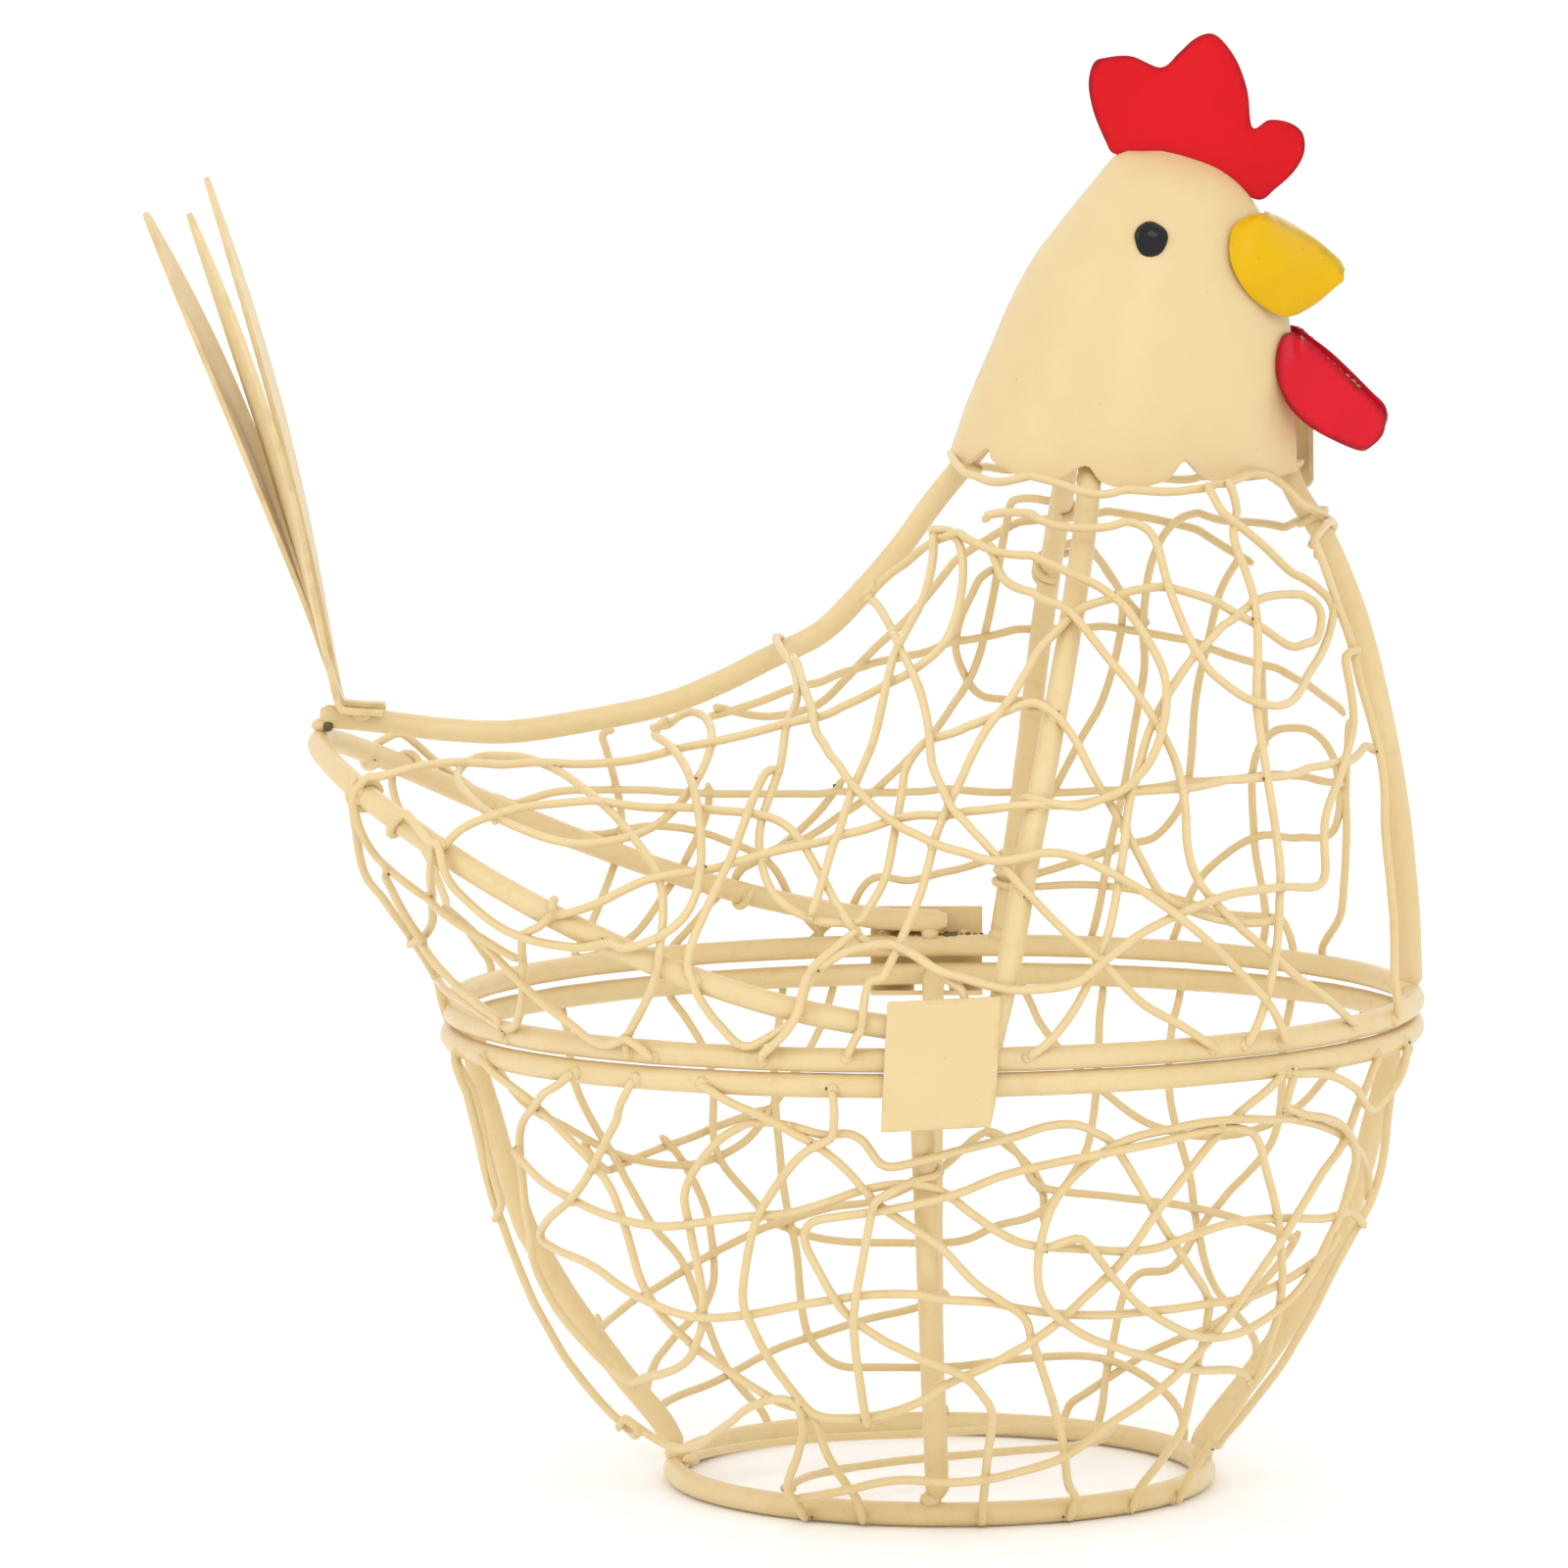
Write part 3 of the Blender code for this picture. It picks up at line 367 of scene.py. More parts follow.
def dense_line(line, closed):
    """The line with points close together, to measure gaps from."""
    loop = np.vstack([line, line[:1]]) if closed else line
    parts = np.maximum(2, (np.linalg.norm(np.diff(loop, axis=0), axis=1) / 0.6).astype(int))
    return np.vstack([np.linspace(a, b, k, endpoint=False)
                      for a, b, k in zip(loop, loop[1:], parts)] + [loop[-1:]])


rod_pieces = []
for count, (node, (body, line, closed)) in enumerate(rods.items()):
    laid.append((dense_line(line, closed), ROD_R, body, node))
    piece = grown(node + "_rod", guide_line(node, line, closed, 0.5), round_wire, {
        "Radius": ROD_R / 1000, "Sides": 20, "Unevenness": 0.00022, "Grain": 120.0,
        "Seed": 3.7 * count, "Paint": cream})
    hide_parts(node)
    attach(piece, body)
    rod_pieces.append(piece)

# Where one rod meets another, a flattened bead of weld metal under the paint.
UP = np.array([0.0, 0.0, 1.0])
for spot, size, body in [
        ((-99.6, 0, 124.6), 1.7, "lid"), ((77.6, 0, 81.8), 2.0, "lid"),
        ((7.6, -78.0, 81.6), 2.0, "lid"), ((13.2, 77.6, 81.6), 2.0, "lid"),
        ((1, -78, 82.0), 1.8, "lid"), ((1, 78, 82.0), 1.8, "lid"),
        ((-76.4, 0, 75.0), 2.0, "basket"), ((76.4, 0, 76.2), 2.0, "basket"),
        ((-3, -76.3, 75.6), 2.0, "basket"), ((1.5, 76.5, 75.0), 1.6, "basket"),
        ((-41.8, 0, 4.4), 2.0, "basket"), ((44.6, 0, 4.4), 2.0, "basket"),
        ((-0.8, -43.4, 4.4), 2.0, "basket"), ((1.6, 43.4, 4.4), 2.0, "basket")]:
    welds.append((np.array(spot, float), UP, size, body))

# ==== Cage wires ============================================================================
# Soft iron wire 1.4 mm thick, bent by hand into random loops over the rods and spot welded at
# its ends and wherever it crosses a rod or another wire. Each length is laid over what is
# already there, as the maker lays it.

WIRE_R = 0.72
LEAST_RISE = 1.9          # a wire's centre over the rods' centre lines where nothing lifts it
STIFFNESS = 0.007         # how fast a wire comes down again beside what lifts it
TOUCH = 0.3               # gap that the paint closes
ROD_REACH, WIRE_REACH = 17, 7          # how far a loose end may go to a rod or a wire
BOWL = [(0, 41.0), (2, 43.0), (7, 47.6), (15, 54.5), (24, 61.0), (33, 66.0), (42, 69.6),
        (50, 71.8), (60, 73.8), (68, 75.4), (71, 77.0), (74.3, 78.3), (77, 78.3)]


def lid_base(x):
    """Half width and height of the lid's lower edge at x, on the ring or on the tail hoop."""
    y_ring = sqrt(max(0.0, RIM_R ** 2 - x * x))
    if x >= 0:
        return y_ring, LID_RIM_Z
    y_hoop, z_hoop = hoop_at(x)
    blend = min(1.0, -x / 15)
    return y_ring + (y_hoop - y_ring) * blend, LID_RIM_Z + (z_hoop - LID_RIM_Z) * blend


def spine_height(x):
    return float(np.interp(x, [p[0] for p in SPINE], [p[1] for p in SPINE]))


def lid_point(x, turn):
    """Lid surface: turn is 0 at the spine, +-90 at the hoop or ring, +-135 at the ring behind."""
    y0, z0 = lid_base(x)
    side = 1 if turn > 0 else -1
    a = abs(turn)
    if a <= 90:
        power = 1.1 + 0.4 * min(1.0, max(0.0, (x + 100) / 100))
        return (x, side * y0 * sin(radians(a)) ** power,
                z0 + (spine_height(x) - z0) * cos(radians(a)))
    down = min(1.0, (a - 90) / 45)
    y_ring = sqrt(max(0.0, RIM_R ** 2 - x * x))
    return x, side * (y0 + (y_ring - y0) * down), z0 + (LID_RIM_Z - z0) * down


def lid_turn(x, z, side):
    y0, z0 = lid_base(x)
    if z >= z0:
        return side * max(2.0, acos(min(1.0, (z - z0) / (spine_height(x) - z0))) * 180 / pi)
    return side * (90 + 45 * (z0 - z) / max(z0 - LID_RIM_Z, 1e-6))


def bowl_radius(z):
    return float(np.interp(z, [p[0] for p in BOWL], [p[1] for p in BOWL]))


def bowl_point(turn, z):
    r = bowl_radius(z)
    return r * cos(radians(turn)), r * sin(radians(turn)), z


def bowl_turn(x, z, side):
    return side * acos(max(-0.99, min(0.99, x / bowl_radius(z)))) * 180 / pi


def outward(surface, guide):
    """Unit directions out of the cage at each point of the guide."""
    found = []
    for a, b in guide:
        n = np.cross(np.subtract(surface(a + 0.5, b), surface(a - 0.5, b)),
                     np.subtract(surface(a, b + 0.5), surface(a, b - 0.5)))
        here = np.array(surface(a, b))
        away = here - (0.0, 0.0, 70.0) if surface is lid_point else here * (1, 1, 0)
        n = n / max(np.linalg.norm(n), 1e-9)
        found.append(n if n @ away > 0 else -n)
    return np.array(found)


def lay_wire(name, spots):
    """One bent wire: spots are (x, z) seen from the side, and the name says which side."""
    body, side = name.split("_")[0], -1 if "_near_" in name else 1
    surface = lid_point if body == "lid" else bowl_point

    def on_surface(x, z):
        if body == "lid":
            return x, lid_turn(x, z, side)
        return bowl_turn(x, z, side), z

    guide = [on_surface(x, z) for x, z in spots]
    rough = np.array([surface(a, b) for a, b in smooth(guide, 80)])
    count = max(20, int(np.linalg.norm(np.diff(rough, axis=0), axis=1).sum() / 0.9))
    guide = smooth(guide, count)
    base = np.array([surface(a, b) for a, b in guide])
    out = outward(surface, guide)
    inner = base - out * (2.2, 0, 2.2)         # the spots are seen on the wire, not under it
    low = LID_RIM_Z if body == "lid" else -9.0
    guide = [on_surface(x, max(z, low)) for x, y, z in inner]
    base = np.array([surface(a, b) for a, b in guide])
    out = outward(surface, guide)
    for _ in range(3):
        out[1:-1] = (out[:-2] + out[1:-1] + out[2:]) / 3
    out /= np.linalg.norm(out, axis=1)[:, None]
    height = np.full(count, LEAST_RISE)
    for line, radius, owner, _ in laid:
        if owner != body:
            continue
        keep = radius + WIRE_R - (0.45 if radius < 1 else 0.3)     # fused by the spot weld
        step = line[None] - base[:, None]
        along = (step * out[:, None]).sum(axis=2)
        across = (step ** 2).sum(axis=2) - along ** 2
        near = (across < keep ** 2) & (along > -6)
        lift = np.where(near, along + np.sqrt(np.maximum(keep ** 2 - across, 0)), -9.0)
        height = np.maximum(height, lift.max(axis=1))
    run = run_along(base)
    gap = np.abs(run[:, None] - run[None])
    height = (height[None] - STIFFNESS * gap ** 2).max(axis=1)
    for _ in range(10):
        height[1:-1] = (height[:-2] + 2 * height[1:-1] + height[2:]) / 4
    line = base + out * height[:, None]
    laid.append((dense_line(line, False), WIRE_R, body, name))
    return [name, body, line, out]


def turned(vector, axis, angle):
    """The vector turned round the axis."""
    return (vector * cos(angle) + np.cross(axis, vector) * sin(angle)
            + axis * (axis @ vector) * (1 - cos(angle)))


def finish_end(name, body, line, out):
    """Let the last end of a wire reach the next wire or rod, or go round the rod it lies on."""
    others = [lay for lay in laid if lay[2] == body and lay[3] != name]
    ahead = line[-1] - line[-4]
    ahead = ahead / np.linalg.norm(ahead)
    best = None
    for other, radius, _, owner in others:
        step = other - line[-1]
        away = np.linalg.norm(step, axis=1)
        facing = (step @ ahead) > 0.35 * away
        allowed = np.where(facing | (away < radius + WIRE_R + 0.5), away, 99.0)
        k = int(allowed.argmin())
        gap = allowed[k] - radius
        score = gap - (7 if radius > 1 and gap < ROD_REACH else 0)  # rods hold better
        if best is None or score < best[0]:
            best = (score, gap, radius, other, k, owner)
    _, gap, radius, other, k, owner = best
    if gap > (ROD_REACH if radius > 1 else WIRE_REACH):    # cut back to the last crossing
        back = line[::-1][:34]
        touch = np.array([min(np.linalg.norm(o - p, axis=1).min() - r for o, r, _, _ in others)
                          < WIRE_R + TOUCH for p in back])
        spare = max(0, int(touch.argmax()) - 1)
        return line[:len(line) - spare], out[:len(out) - spare]
    there = other[k]
    if gap > WIRE_R + TOUCH:               # bridge the gap with a little bow
        top = there + out[-1] * (radius + WIRE_R - TOUCH)
        count = max(3, int(np.linalg.norm(top - line[-1]) / 0.9) + 1)
        t = np.linspace(0, 1, count + 1)[1:, None]
        start, reach = line[-1], np.linalg.norm(top - line[-1])
        bridge = (start + (top - start) * t + ahead * reach * 0.25 * (t * (1 - t))
                  + out[-1] * reach ** 2 / 40 * (t * (1 - t)))
        line = np.vstack([line, bridge])
        out = np.vstack([out, np.repeat(out[-1:], count, axis=0)])
    wraps = radius > 1 and not owner.endswith("ring") and 3 < k < len(other) - 4
    if wraps and there[0] < 75.8 and there[2] > 10:        # wind the end round the rod
        along = other[k + 2] - other[k - 2]
        along = along / np.linalg.norm(along)
        centre = there + along * ((line[-1] - there) @ along)
        arm = line[-1] - centre
        arm = arm / np.linalg.norm(arm)
        ahead = line[-1] - line[-3]
        spin = 1 if np.cross(along, arm) @ ahead > 0 else -1
        slope = float(np.clip((ahead @ along) / max(0.3, abs(np.cross(along, arm) @ ahead)),
                              -0.45, 0.45))
        away = ROD_R + WIRE_R - 0.2
        turn = np.radians(np.arange(16, 215, 16))
        coil = np.array([centre + along * slope * away * t + turned(arm, along, spin * t) * away
                         for t in turn])
        line = np.vstack([line[:-1], coil])
        out = np.vstack([out[:-1], [turned(arm, along, spin * t) for t in turn]])
    return line, out


def make_wire(name, body, line, out, seed):
    """Finish both ends, note the welds and sweep the wire."""
    line, out = finish_end(name, body, line[::-1], out[::-1])
    line, out = finish_end(name, body, line[::-1], out[::-1])
    line[1:-1] = (line[:-2] + 2 * line[1:-1] + line[2:]) / 4
    line[:, 2] = np.maximum(line[:, 2], WIRE_R + 0.15)
    for other, radius, owner, label in laid:
        if label == name:
            break
        if owner != body:
            continue
        close = np.linalg.norm(other[None] - line[:, None], axis=2)
        nearest = close.min(axis=1)
        touch = nearest < radius + WIRE_R + 0.12
        k = 0
        while k < len(line):
            if touch[k]:
                end = k
                while end + 1 < len(line) and touch[end + 1]:
                    end += 1
                best = k + int(nearest[k:end + 1].argmin())
                there = other[close[best].argmin()]
                spot = line[best] + (there - line[best]) * WIRE_R / (WIRE_R + radius)
                welds.append((spot, out[best], 0.92 if radius < 1 else 1.1, body))
                k = end
            k += 1
    piece = grown(name + "_wire", guide_line(name, line, False, 0.7), round_wire, {
        "Radius": WIRE_R / 1000, "Sides": 12, "Unevenness": 0.00012, "Grain": 210.0,
        "Seed": 1.3 * seed, "Paint": cream})
    if name in frame["nodes"]:
        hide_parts(name)
    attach(piece, body)
    return piece


cage = [
    ("basket_wire_near_1", [(-72.5, 74.3), (-64, 68), (-54, 59), (-50, 51.5), (-46, 39),
        (-39.5, 31.5), (-33, 27), (-26, 22.5), (-20, 20), (-17, 12), (-12.5, 4.5)]),
    ("basket_wire_near_2", [(-57, 74.3), (-63, 69), (-66.5, 62), (-66.3, 54), (-65.3, 46),
        (-64, 38.5), (-58.5, 30), (-50, 22.8), (-46, 24), (-41, 27), (-38, 31), (-36.8, 38),
        (-39, 50), (-40, 56), (-38, 61), (-33.5, 66.5), (-29, 68.8), (-23.5, 68.5), (-18, 67.5),
        (-14.5, 67.8), (-12, 66.5), (-9, 62.5), (-5, 62.8), (3, 65), (9, 66.5), (16, 68.5),
        (21, 68.8), (25.5, 66.8), (28, 64), (33, 55.5), (36.5, 49.5), (40.5, 43), (43, 38.2),
        (42.7, 33), (41, 24), (39, 14), (33, 4.5)]),
    ("basket_wire_near_3", [(-67, 60), (-62, 55), (-57, 53), (-50, 51.5), (-43, 51), (-33.5, 53),
        (-24, 54.3), (-18.5, 56), (-12, 58.5), (-5.5, 59.6), (0, 58.6), (5, 54.8), (9.5, 51.6),
        (14, 49.5), (21.5, 48.7), (28.5, 48), (33.5, 48.3), (37.3, 49.3), (43.5, 50.7), (49.5, 51),
        (55, 50.5), (62, 49), (67, 49)]),
    ("basket_wire_near_4", [(-47.5, 74.3), (-50, 69.5), (-53.5, 60.5), (-57.5, 53.5), (-63.5, 46),
        (-61, 44), (-55, 42.5), (-46, 38.5), (-38, 36.8), (-29, 37.8), (-21, 39.5), (-12, 41.2),
        (-4, 41.5), (0, 40.8), (7.5, 40.3), (13, 39), (20, 37.8), (28, 37.3), (35.5, 37.7),
        (43, 38.3), (49, 38), (54, 39), (61.5, 42)]),
    ("basket_wire_near_5", [(-37, 74.3), (-32, 72), (-27, 70), (-21, 67), (-15, 62.5), (-10, 57),
        (-5.5, 53.5), (0, 49.5), (6, 43.3), (13, 38.3), (14.5, 34), (17, 26.5), (19, 19.5), (21, 8),
        (22.5, 4.5)]),
    ("basket_wire_near_6", [(-16.5, 67.2), (-19, 66), (-22, 63.5), (-25.5, 58.5), (-28, 54),
        (-29.5, 48), (-30, 40), (-28.7, 36.5), (-25.5, 29.5), (-21.7, 23), (-19, 20.4), (-13.5, 20),
        (-8, 21), (-2, 23.5), (0, 25.5), (5.5, 29), (13, 33.5), (19.7, 38.5), (27.5, 46),
        (33.5, 54), (40.5, 62), (48, 69.5), (54, 74.3)]),
    ("basket_wire_near_7", [(50.5, 22.5), (47, 25.5), (39, 27.3), (31, 30.8), (24.5, 34), (20, 37),
        (16, 41), (15, 46), (16, 52), (18, 57), (22.7, 62.5), (28.3, 66), (36.5, 67.7), (44, 68.5),
        (51, 68), (59, 65.8), (65.5, 62), (70, 55), (70.2, 47)]),
    ("basket_wire_near_8", [(7.5, 4.5), (8, 13), (8.5, 21), (7, 25), (3.5, 29), (-5.5, 32.5),
        (-10, 35), (-14.8, 39), (-18.5, 45), (-21, 50), (-20, 53.2), (-16, 54.5), (-8, 56),
        (-3, 57), (3, 58.5), (9.5, 61), (19, 63.5), (28, 65), (36.5, 66), (44, 67), (48.5, 66),
        (50.7, 63), (52.3, 56.5), (53.8, 49), (54.5, 40), (53, 28.5), (48, 17), (42, 6)]),
    ("basket_wire_near_9", [(70, 73), (67.8, 69), (64, 61), (60.5, 57), (56, 51.5), (51.3, 44.5),
        (46.3, 37.5), (41.7, 31.5), (34, 24), (27.8, 19), (20.5, 13.5), (12, 10.5), (2, 9), (-8, 9),
        (-15, 7), (-22, 4.5)]),
    ("basket_wire_far_1", [(-62, 74.3), (-60, 60), (-53, 46), (-47, 35), (-41.5, 28), (-37.5, 18.5),
        (-33.5, 10.5), (-28, 4.5)]),
    ("basket_wire_far_2", [(-66, 30), (-60, 20), (-54, 21.5), (-46, 25), (-36, 29.5), (-26, 33),
        (-16, 35.5), (-8, 36.5), (2, 41), (11, 48), (16.5, 44), (20, 39), (33, 38), (45.5, 37.5),
        (57.5, 36), (66, 34)]),
    ("basket_wire_far_3", [(-24, 74.3), (-26, 60), (-24.5, 41), (-22, 29), (-21, 18), (-19, 13.5),
        (-15, 10.5), (-8.5, 10), (4.5, 10), (16, 11.5), (30, 12.5), (40, 9), (43, 4)]),
    ("basket_wire_far_4", [(-45, 74.3), (-37, 60), (-36, 46), (-29.5, 38), (-24, 33), (-12, 30),
        (4.5, 29.5), (12, 32), (20.5, 35.5), (27, 44), (29, 50), (30, 60), (31, 73.2)]),
    ("basket_wire_far_5", [(62, 74.3), (59.5, 52), (51, 40.5), (46, 34), (42, 27.5), (36.5, 26),
        (33.5, 21.5), (30.5, 11.5), (29.5, 4.5)]),
    ("basket_wire_far_6", [(44, 74.3), (42, 57), (44.5, 44.5), (46, 32), (50, 24), (55, 17.5),
        (52, 12), (46, 5)]),
    ("lid_wire_near_1", [(-24, 137.5), (-22.2, 133), (-24, 128), (-25, 122.5), (-27.7, 115.5),
        (-28, 110.5), (-26, 105), (-21, 101.5), (-13.5, 100.5), (-11, 103), (-8.5, 107.5),
        (-7.3, 113), (-6, 119.5), (-5, 124), (-2, 127.5), (3.5, 129.5), (10, 132), (14, 133.3),
        (17.5, 132), (21, 128), (24, 122.5), (28.5, 115), (31, 110.5), (34, 105), (37.5, 102.3),
        (45.5, 99.5), (53.5, 99), (61, 100), (69, 101)]),
    ("lid_wire_near_2", [(-43, 127), (-40, 128.8), (-36.5, 128), (-36, 124.5), (-39, 119),
        (-44.5, 114), (-50.5, 112), (-58.5, 111.5), (-66, 113.5), (-72.5, 116.5), (-76, 120),
        (-73.5, 122.3), (-68, 122.5), (-60.5, 121), (-55.5, 118.5), (-50.5, 115), (-47, 111.5),
        (-44, 107.5), (-43, 102.5), (-43.5, 95.5), (-45, 89), (-49, 81)]),
    ("lid_wire_near_3", [(-90, 120), (-80, 121), (-68, 121), (-56.5, 121.2), (-45, 123),
        (-37, 124.5), (-29, 126.5), (-21.5, 128.5), (-11, 133.5), (-4, 137.5), (1, 142), (3, 148),
        (3.5, 154), (2.2, 158)]),
    ("lid_wire_near_4", [(-79, 108), (-74, 113), (-65.5, 115.5), (-56, 116.5), (-48, 116),
        (-38, 116), (-29, 115.5), (-24.5, 114.5), (-21.5, 112), (-18, 106.5), (-15, 101.5),
        (-11.5, 97.5), (-6, 96.6), (-2, 94.5), (1, 92), (3.5, 90.4)]),
    ("lid_wire_near_5", [(-61, 100), (-55, 102), (-48, 105), (-43, 106.5), (-32.5, 108.5),
        (-24.5, 110.5), (-11, 114), (-4.5, 116), (3, 117), (11, 118), (19, 118), (26.5, 119),
        (34.5, 120), (42, 120.5), (50, 121), (58, 121.5), (66, 122), (71, 122.5)]),
    ("lid_wire_near_6", [(-14.5, 80), (-12, 87), (-9, 92), (-6, 98), (-3, 105), (-0.5, 113),
        (3, 121), (7, 128.5), (11.5, 134), (15.5, 141), (19, 144.5), (22.5, 147.5), (29, 149.5),
        (35.5, 150.5), (41.5, 149), (46, 147), (52, 143.5), (57, 140.3), (61, 141), (62, 145.5),
        (59, 148), (52, 148), (46, 144.5), (40.5, 140), (36.5, 135), (32.5, 128.5), (30.5, 122.5),
        (29, 117.5), (28, 109), (26.5, 100), (24, 93.5), (21, 87.5), (17, 82.5), (13.5, 80)]),
    ("lid_wire_near_7", [(-10.5, 146.5), (-8, 144), (-5.5, 140), (-3, 135), (-1.5, 129.5),
        (-0.5, 123.5), (1.5, 118.5), (3.5, 115.5), (8, 111), (12.5, 106), (18.5, 99.8), (25, 94),
        (31, 88), (37.5, 84), (43, 80)]),
    ("lid_wire_near_8", [(8, 160.5), (8.6, 156), (10.5, 151.5), (15.5, 149), (20, 147), (23, 144),
        (27.5, 138.5), (33, 130.5), (36.5, 124), (38, 117.5), (38.5, 111.5), (40.5, 105.5),
        (45.5, 99.5), (52.5, 93.5), (57, 89.5), (62, 85.5), (66.5, 81)]),
    ("lid_wire_near_9", [(48.5, 161.5), (47.7, 157), (50, 147.5), (50.5, 139.5), (50.5, 129),
        (51.5, 120), (53.5, 109), (53, 101), (52, 93), (50, 84), (48, 80)]),
    ("lid_wire_near_10", [(11, 161.5), (18, 160), (26, 159.5), (32, 160), (34.5, 157.5), (36, 151),
        (38, 145.5), (40.5, 140), (44, 136), (49, 132.5), (54.5, 131.5), (58.5, 134.5), (62.5, 140),
        (64.5, 145), (62, 148.5), (58, 151), (53, 155), (46, 160.5)]),
    ("lid_wire_near_11", [(66, 138), (67, 129), (64.5, 122), (61.5, 114), (60.5, 104), (53, 104),
        (44.5, 103.5), (38, 101.5), (31, 98.5), (25, 94.5), (20, 91), (10, 90.5), (0, 93), (-8, 97),
        (-16.5, 95), (-21, 90), (-24, 84.5), (-30, 81), (-34.5, 84.5), (-38, 90), (-39, 95),
        (-36, 102), (-32, 109.5), (-29, 116.5), (-27, 121)]),
    ("lid_wire_far_1", [(-58, 121.5), (-50, 119.5), (-42, 121.5), (-29, 125), (-21, 128),
        (-10, 131), (1, 133), (10.5, 135), (19, 136), (27, 136.5), (37, 136), (47, 134),
        (56, 131.5), (64, 128.5), (69.5, 124)]),
    ("lid_wire_far_2", [(-72, 106), (-63, 108.5), (-50, 108.5), (-38, 107.5), (-20, 107), (-8, 107),
        (0, 107), (14, 106.5), (31, 107.5), (44, 109.5), (56, 111.5), (66, 112), (72, 110)]),
    ("lid_wire_far_3", [(-55, 119.5), (-53.5, 112), (-52, 104), (-52.5, 98), (-54, 93), (-57.5, 85),
        (-60, 80), (-50, 83), (-42, 93), (-38.5, 100.5), (-37, 106), (-38, 112.5), (-40.5, 118)]),
    ("lid_wire_far_4", [(13.5, 159.5), (12, 149), (10.5, 137), (8, 128), (2.5, 119.5), (-4, 111.5),
        (-12, 104), (-20, 99), (-32, 92.5), (-40, 84), (-44, 80)]),
    ("lid_wire_far_5", [(59, 156), (49.5, 156.5), (42, 156.5), (38, 149.5), (36.5, 137), (37, 128),
        (34.5, 111), (32, 98), (30.5, 88), (28.5, 80)]),
    ("lid_wire_far_6", [(18.5, 92), (27.5, 95), (35.5, 98), (40, 100), (44, 106.5), (45.5, 117.5),
        (46.5, 130), (49, 143), (52, 150)]),
    ("lid_wire_far_7", [(42, 80), (46.5, 91.5), (51, 97), (56.5, 101), (63, 101.5), (68, 103),
        (68.5, 111), (66, 119), (58, 119), (55, 112), (56, 100), (58, 88), (57, 80)]),
    ("lid_wire_near_12", [(-27.5, 80), (-24, 83.5), (-21, 91), (-16.5, 96), (-13, 99)]),
    ("lid_wire_near_13", [(-93, 119), (-92.5, 105), (-88.5, 98), (-84, 91), (-80, 83)]),
    ("lid_wire_near_14", [(-80, 85), (-73.5, 82), (-68, 80), (-66, 84), (-65.5, 90.5), (-64.5, 97),
        (-60, 99.5)]),
    ("lid_wire_near_15", [(-79, 108), (-79.5, 100.5), (-81, 94), (-84.5, 91)]),
    ("lid_wire_near_16", [(-78.5, 99.5), (-73, 95.5), (-67, 90.5), (-61, 85), (-54.5, 80.5),
        (-51.5, 80), (-48.5, 81.5)]),
    ("lid_wire_near_17", [(-89.5, 106), (-81.5, 101.5), (-75.5, 97.5), (-65.5, 93)]),
    ("basket_wire_near_10", [(-10, 57.5), (-11.5, 49), (-13, 40), (-13, 35), (-12, 25.5),
        (-11, 19.5)]),
    ("basket_wire_near_11", [(55.5, 74), (63, 73), (66.7, 69.5), (69, 66)]),
    ("basket_wire_near_12", [(-50, 14.5), (-43, 11), (-38, 12.5), (-33.5, 17), (-29.5, 21.5),
        (-25, 23.3), (-22, 22.5), (-21, 18), (-22, 13), (-23.5, 7), (-22, 4)]),
    ("basket_wire_near_13", [(-77, 73), (-75.5, 65), (-73.5, 57), (-70, 49)]),
    ("lid_wire_near_18", [(5, 166.6), (9.6, 165.8), (19, 166.2), (26, 164.4), (33, 165),
        (40, 164.8), (47, 165.5), (55, 166), (60, 166)]),
    ("lid_wire_near_19", [(-9.4, 148.7), (-2.7, 154.3), (8.4, 155.4), (19.4, 153.2), (26, 149.8),
        (31.6, 144.2), (34.9, 136.3), (33.8, 127.4), (29.4, 120.6), (21.7, 117.3)]),
    ("lid_wire_near_20", [(0.5, 160), (0.6, 154.3), (-1.6, 147.6), (-6, 138.6), (-9.4, 129.6),
        (-12.7, 120.6), (-16, 111.7), (-19.3, 102.7)]),
    ("lid_wire_near_21", [(-22.7, 137), (-20.4, 131.9), (-16, 122.9), (-9.4, 116.2), (-0.5, 111.7),
        (8.4, 109.4), (19.4, 110.5), (30.5, 104.9), (41.6, 96), (50.4, 86.7), (53.5, 81)]),
    ("lid_wire_near_22", [(61.5, 156), (63.7, 147.6), (67, 138.6), (69.3, 129.6), (71.5, 118.4),
        (72.6, 107.2), (73.7, 96), (73.7, 87)]),
    ("lid_wire_near_23", [(-86.5, 102), (-80.5, 93), (-74, 84), (-70, 81.5)]),
    ("lid_wire_near_24", [(-83, 114.5), (-75.8, 104.9), (-67, 98.2), (-55.9, 96), (-44.8, 97.1),
        (-38.2, 102.7), (-37, 111.7), (-39.3, 120.6), (-44.8, 125)]),
    ("lid_wire_far_15", [(-40, 125), (-30, 122), (-18, 124), (-8, 134), (2, 146), (10, 152),
        (22, 156), (36, 156), (48, 152), (58, 146), (64, 138)]),
    ("lid_wire_far_16", [(-88, 121), (-80, 112), (-70, 104), (-58, 100), (-46, 101), (-34, 98),
        (-24, 90), (-18, 82)]),
    ("lid_wire_far_17", [(6, 166), (14, 165), (24, 163.5), (34, 164.5), (46, 164), (56, 165)]),
    ("lid_wire_far_18", [(-88, 106), (-84, 100), (-79, 90), (-74, 82)]),
    ("basket_wire_near_14", [(-76.9, 69), (-74.7, 55.6), (-70.3, 42.1), (-64.7, 30.9), (-58, 19.7),
        (-49.2, 11.8)]),
    ("basket_wire_near_15", [(75.9, 72.5), (72.6, 57.8), (67, 44.3), (61.5, 33.1), (54.9, 21.9),
        (47.1, 11.8)]),
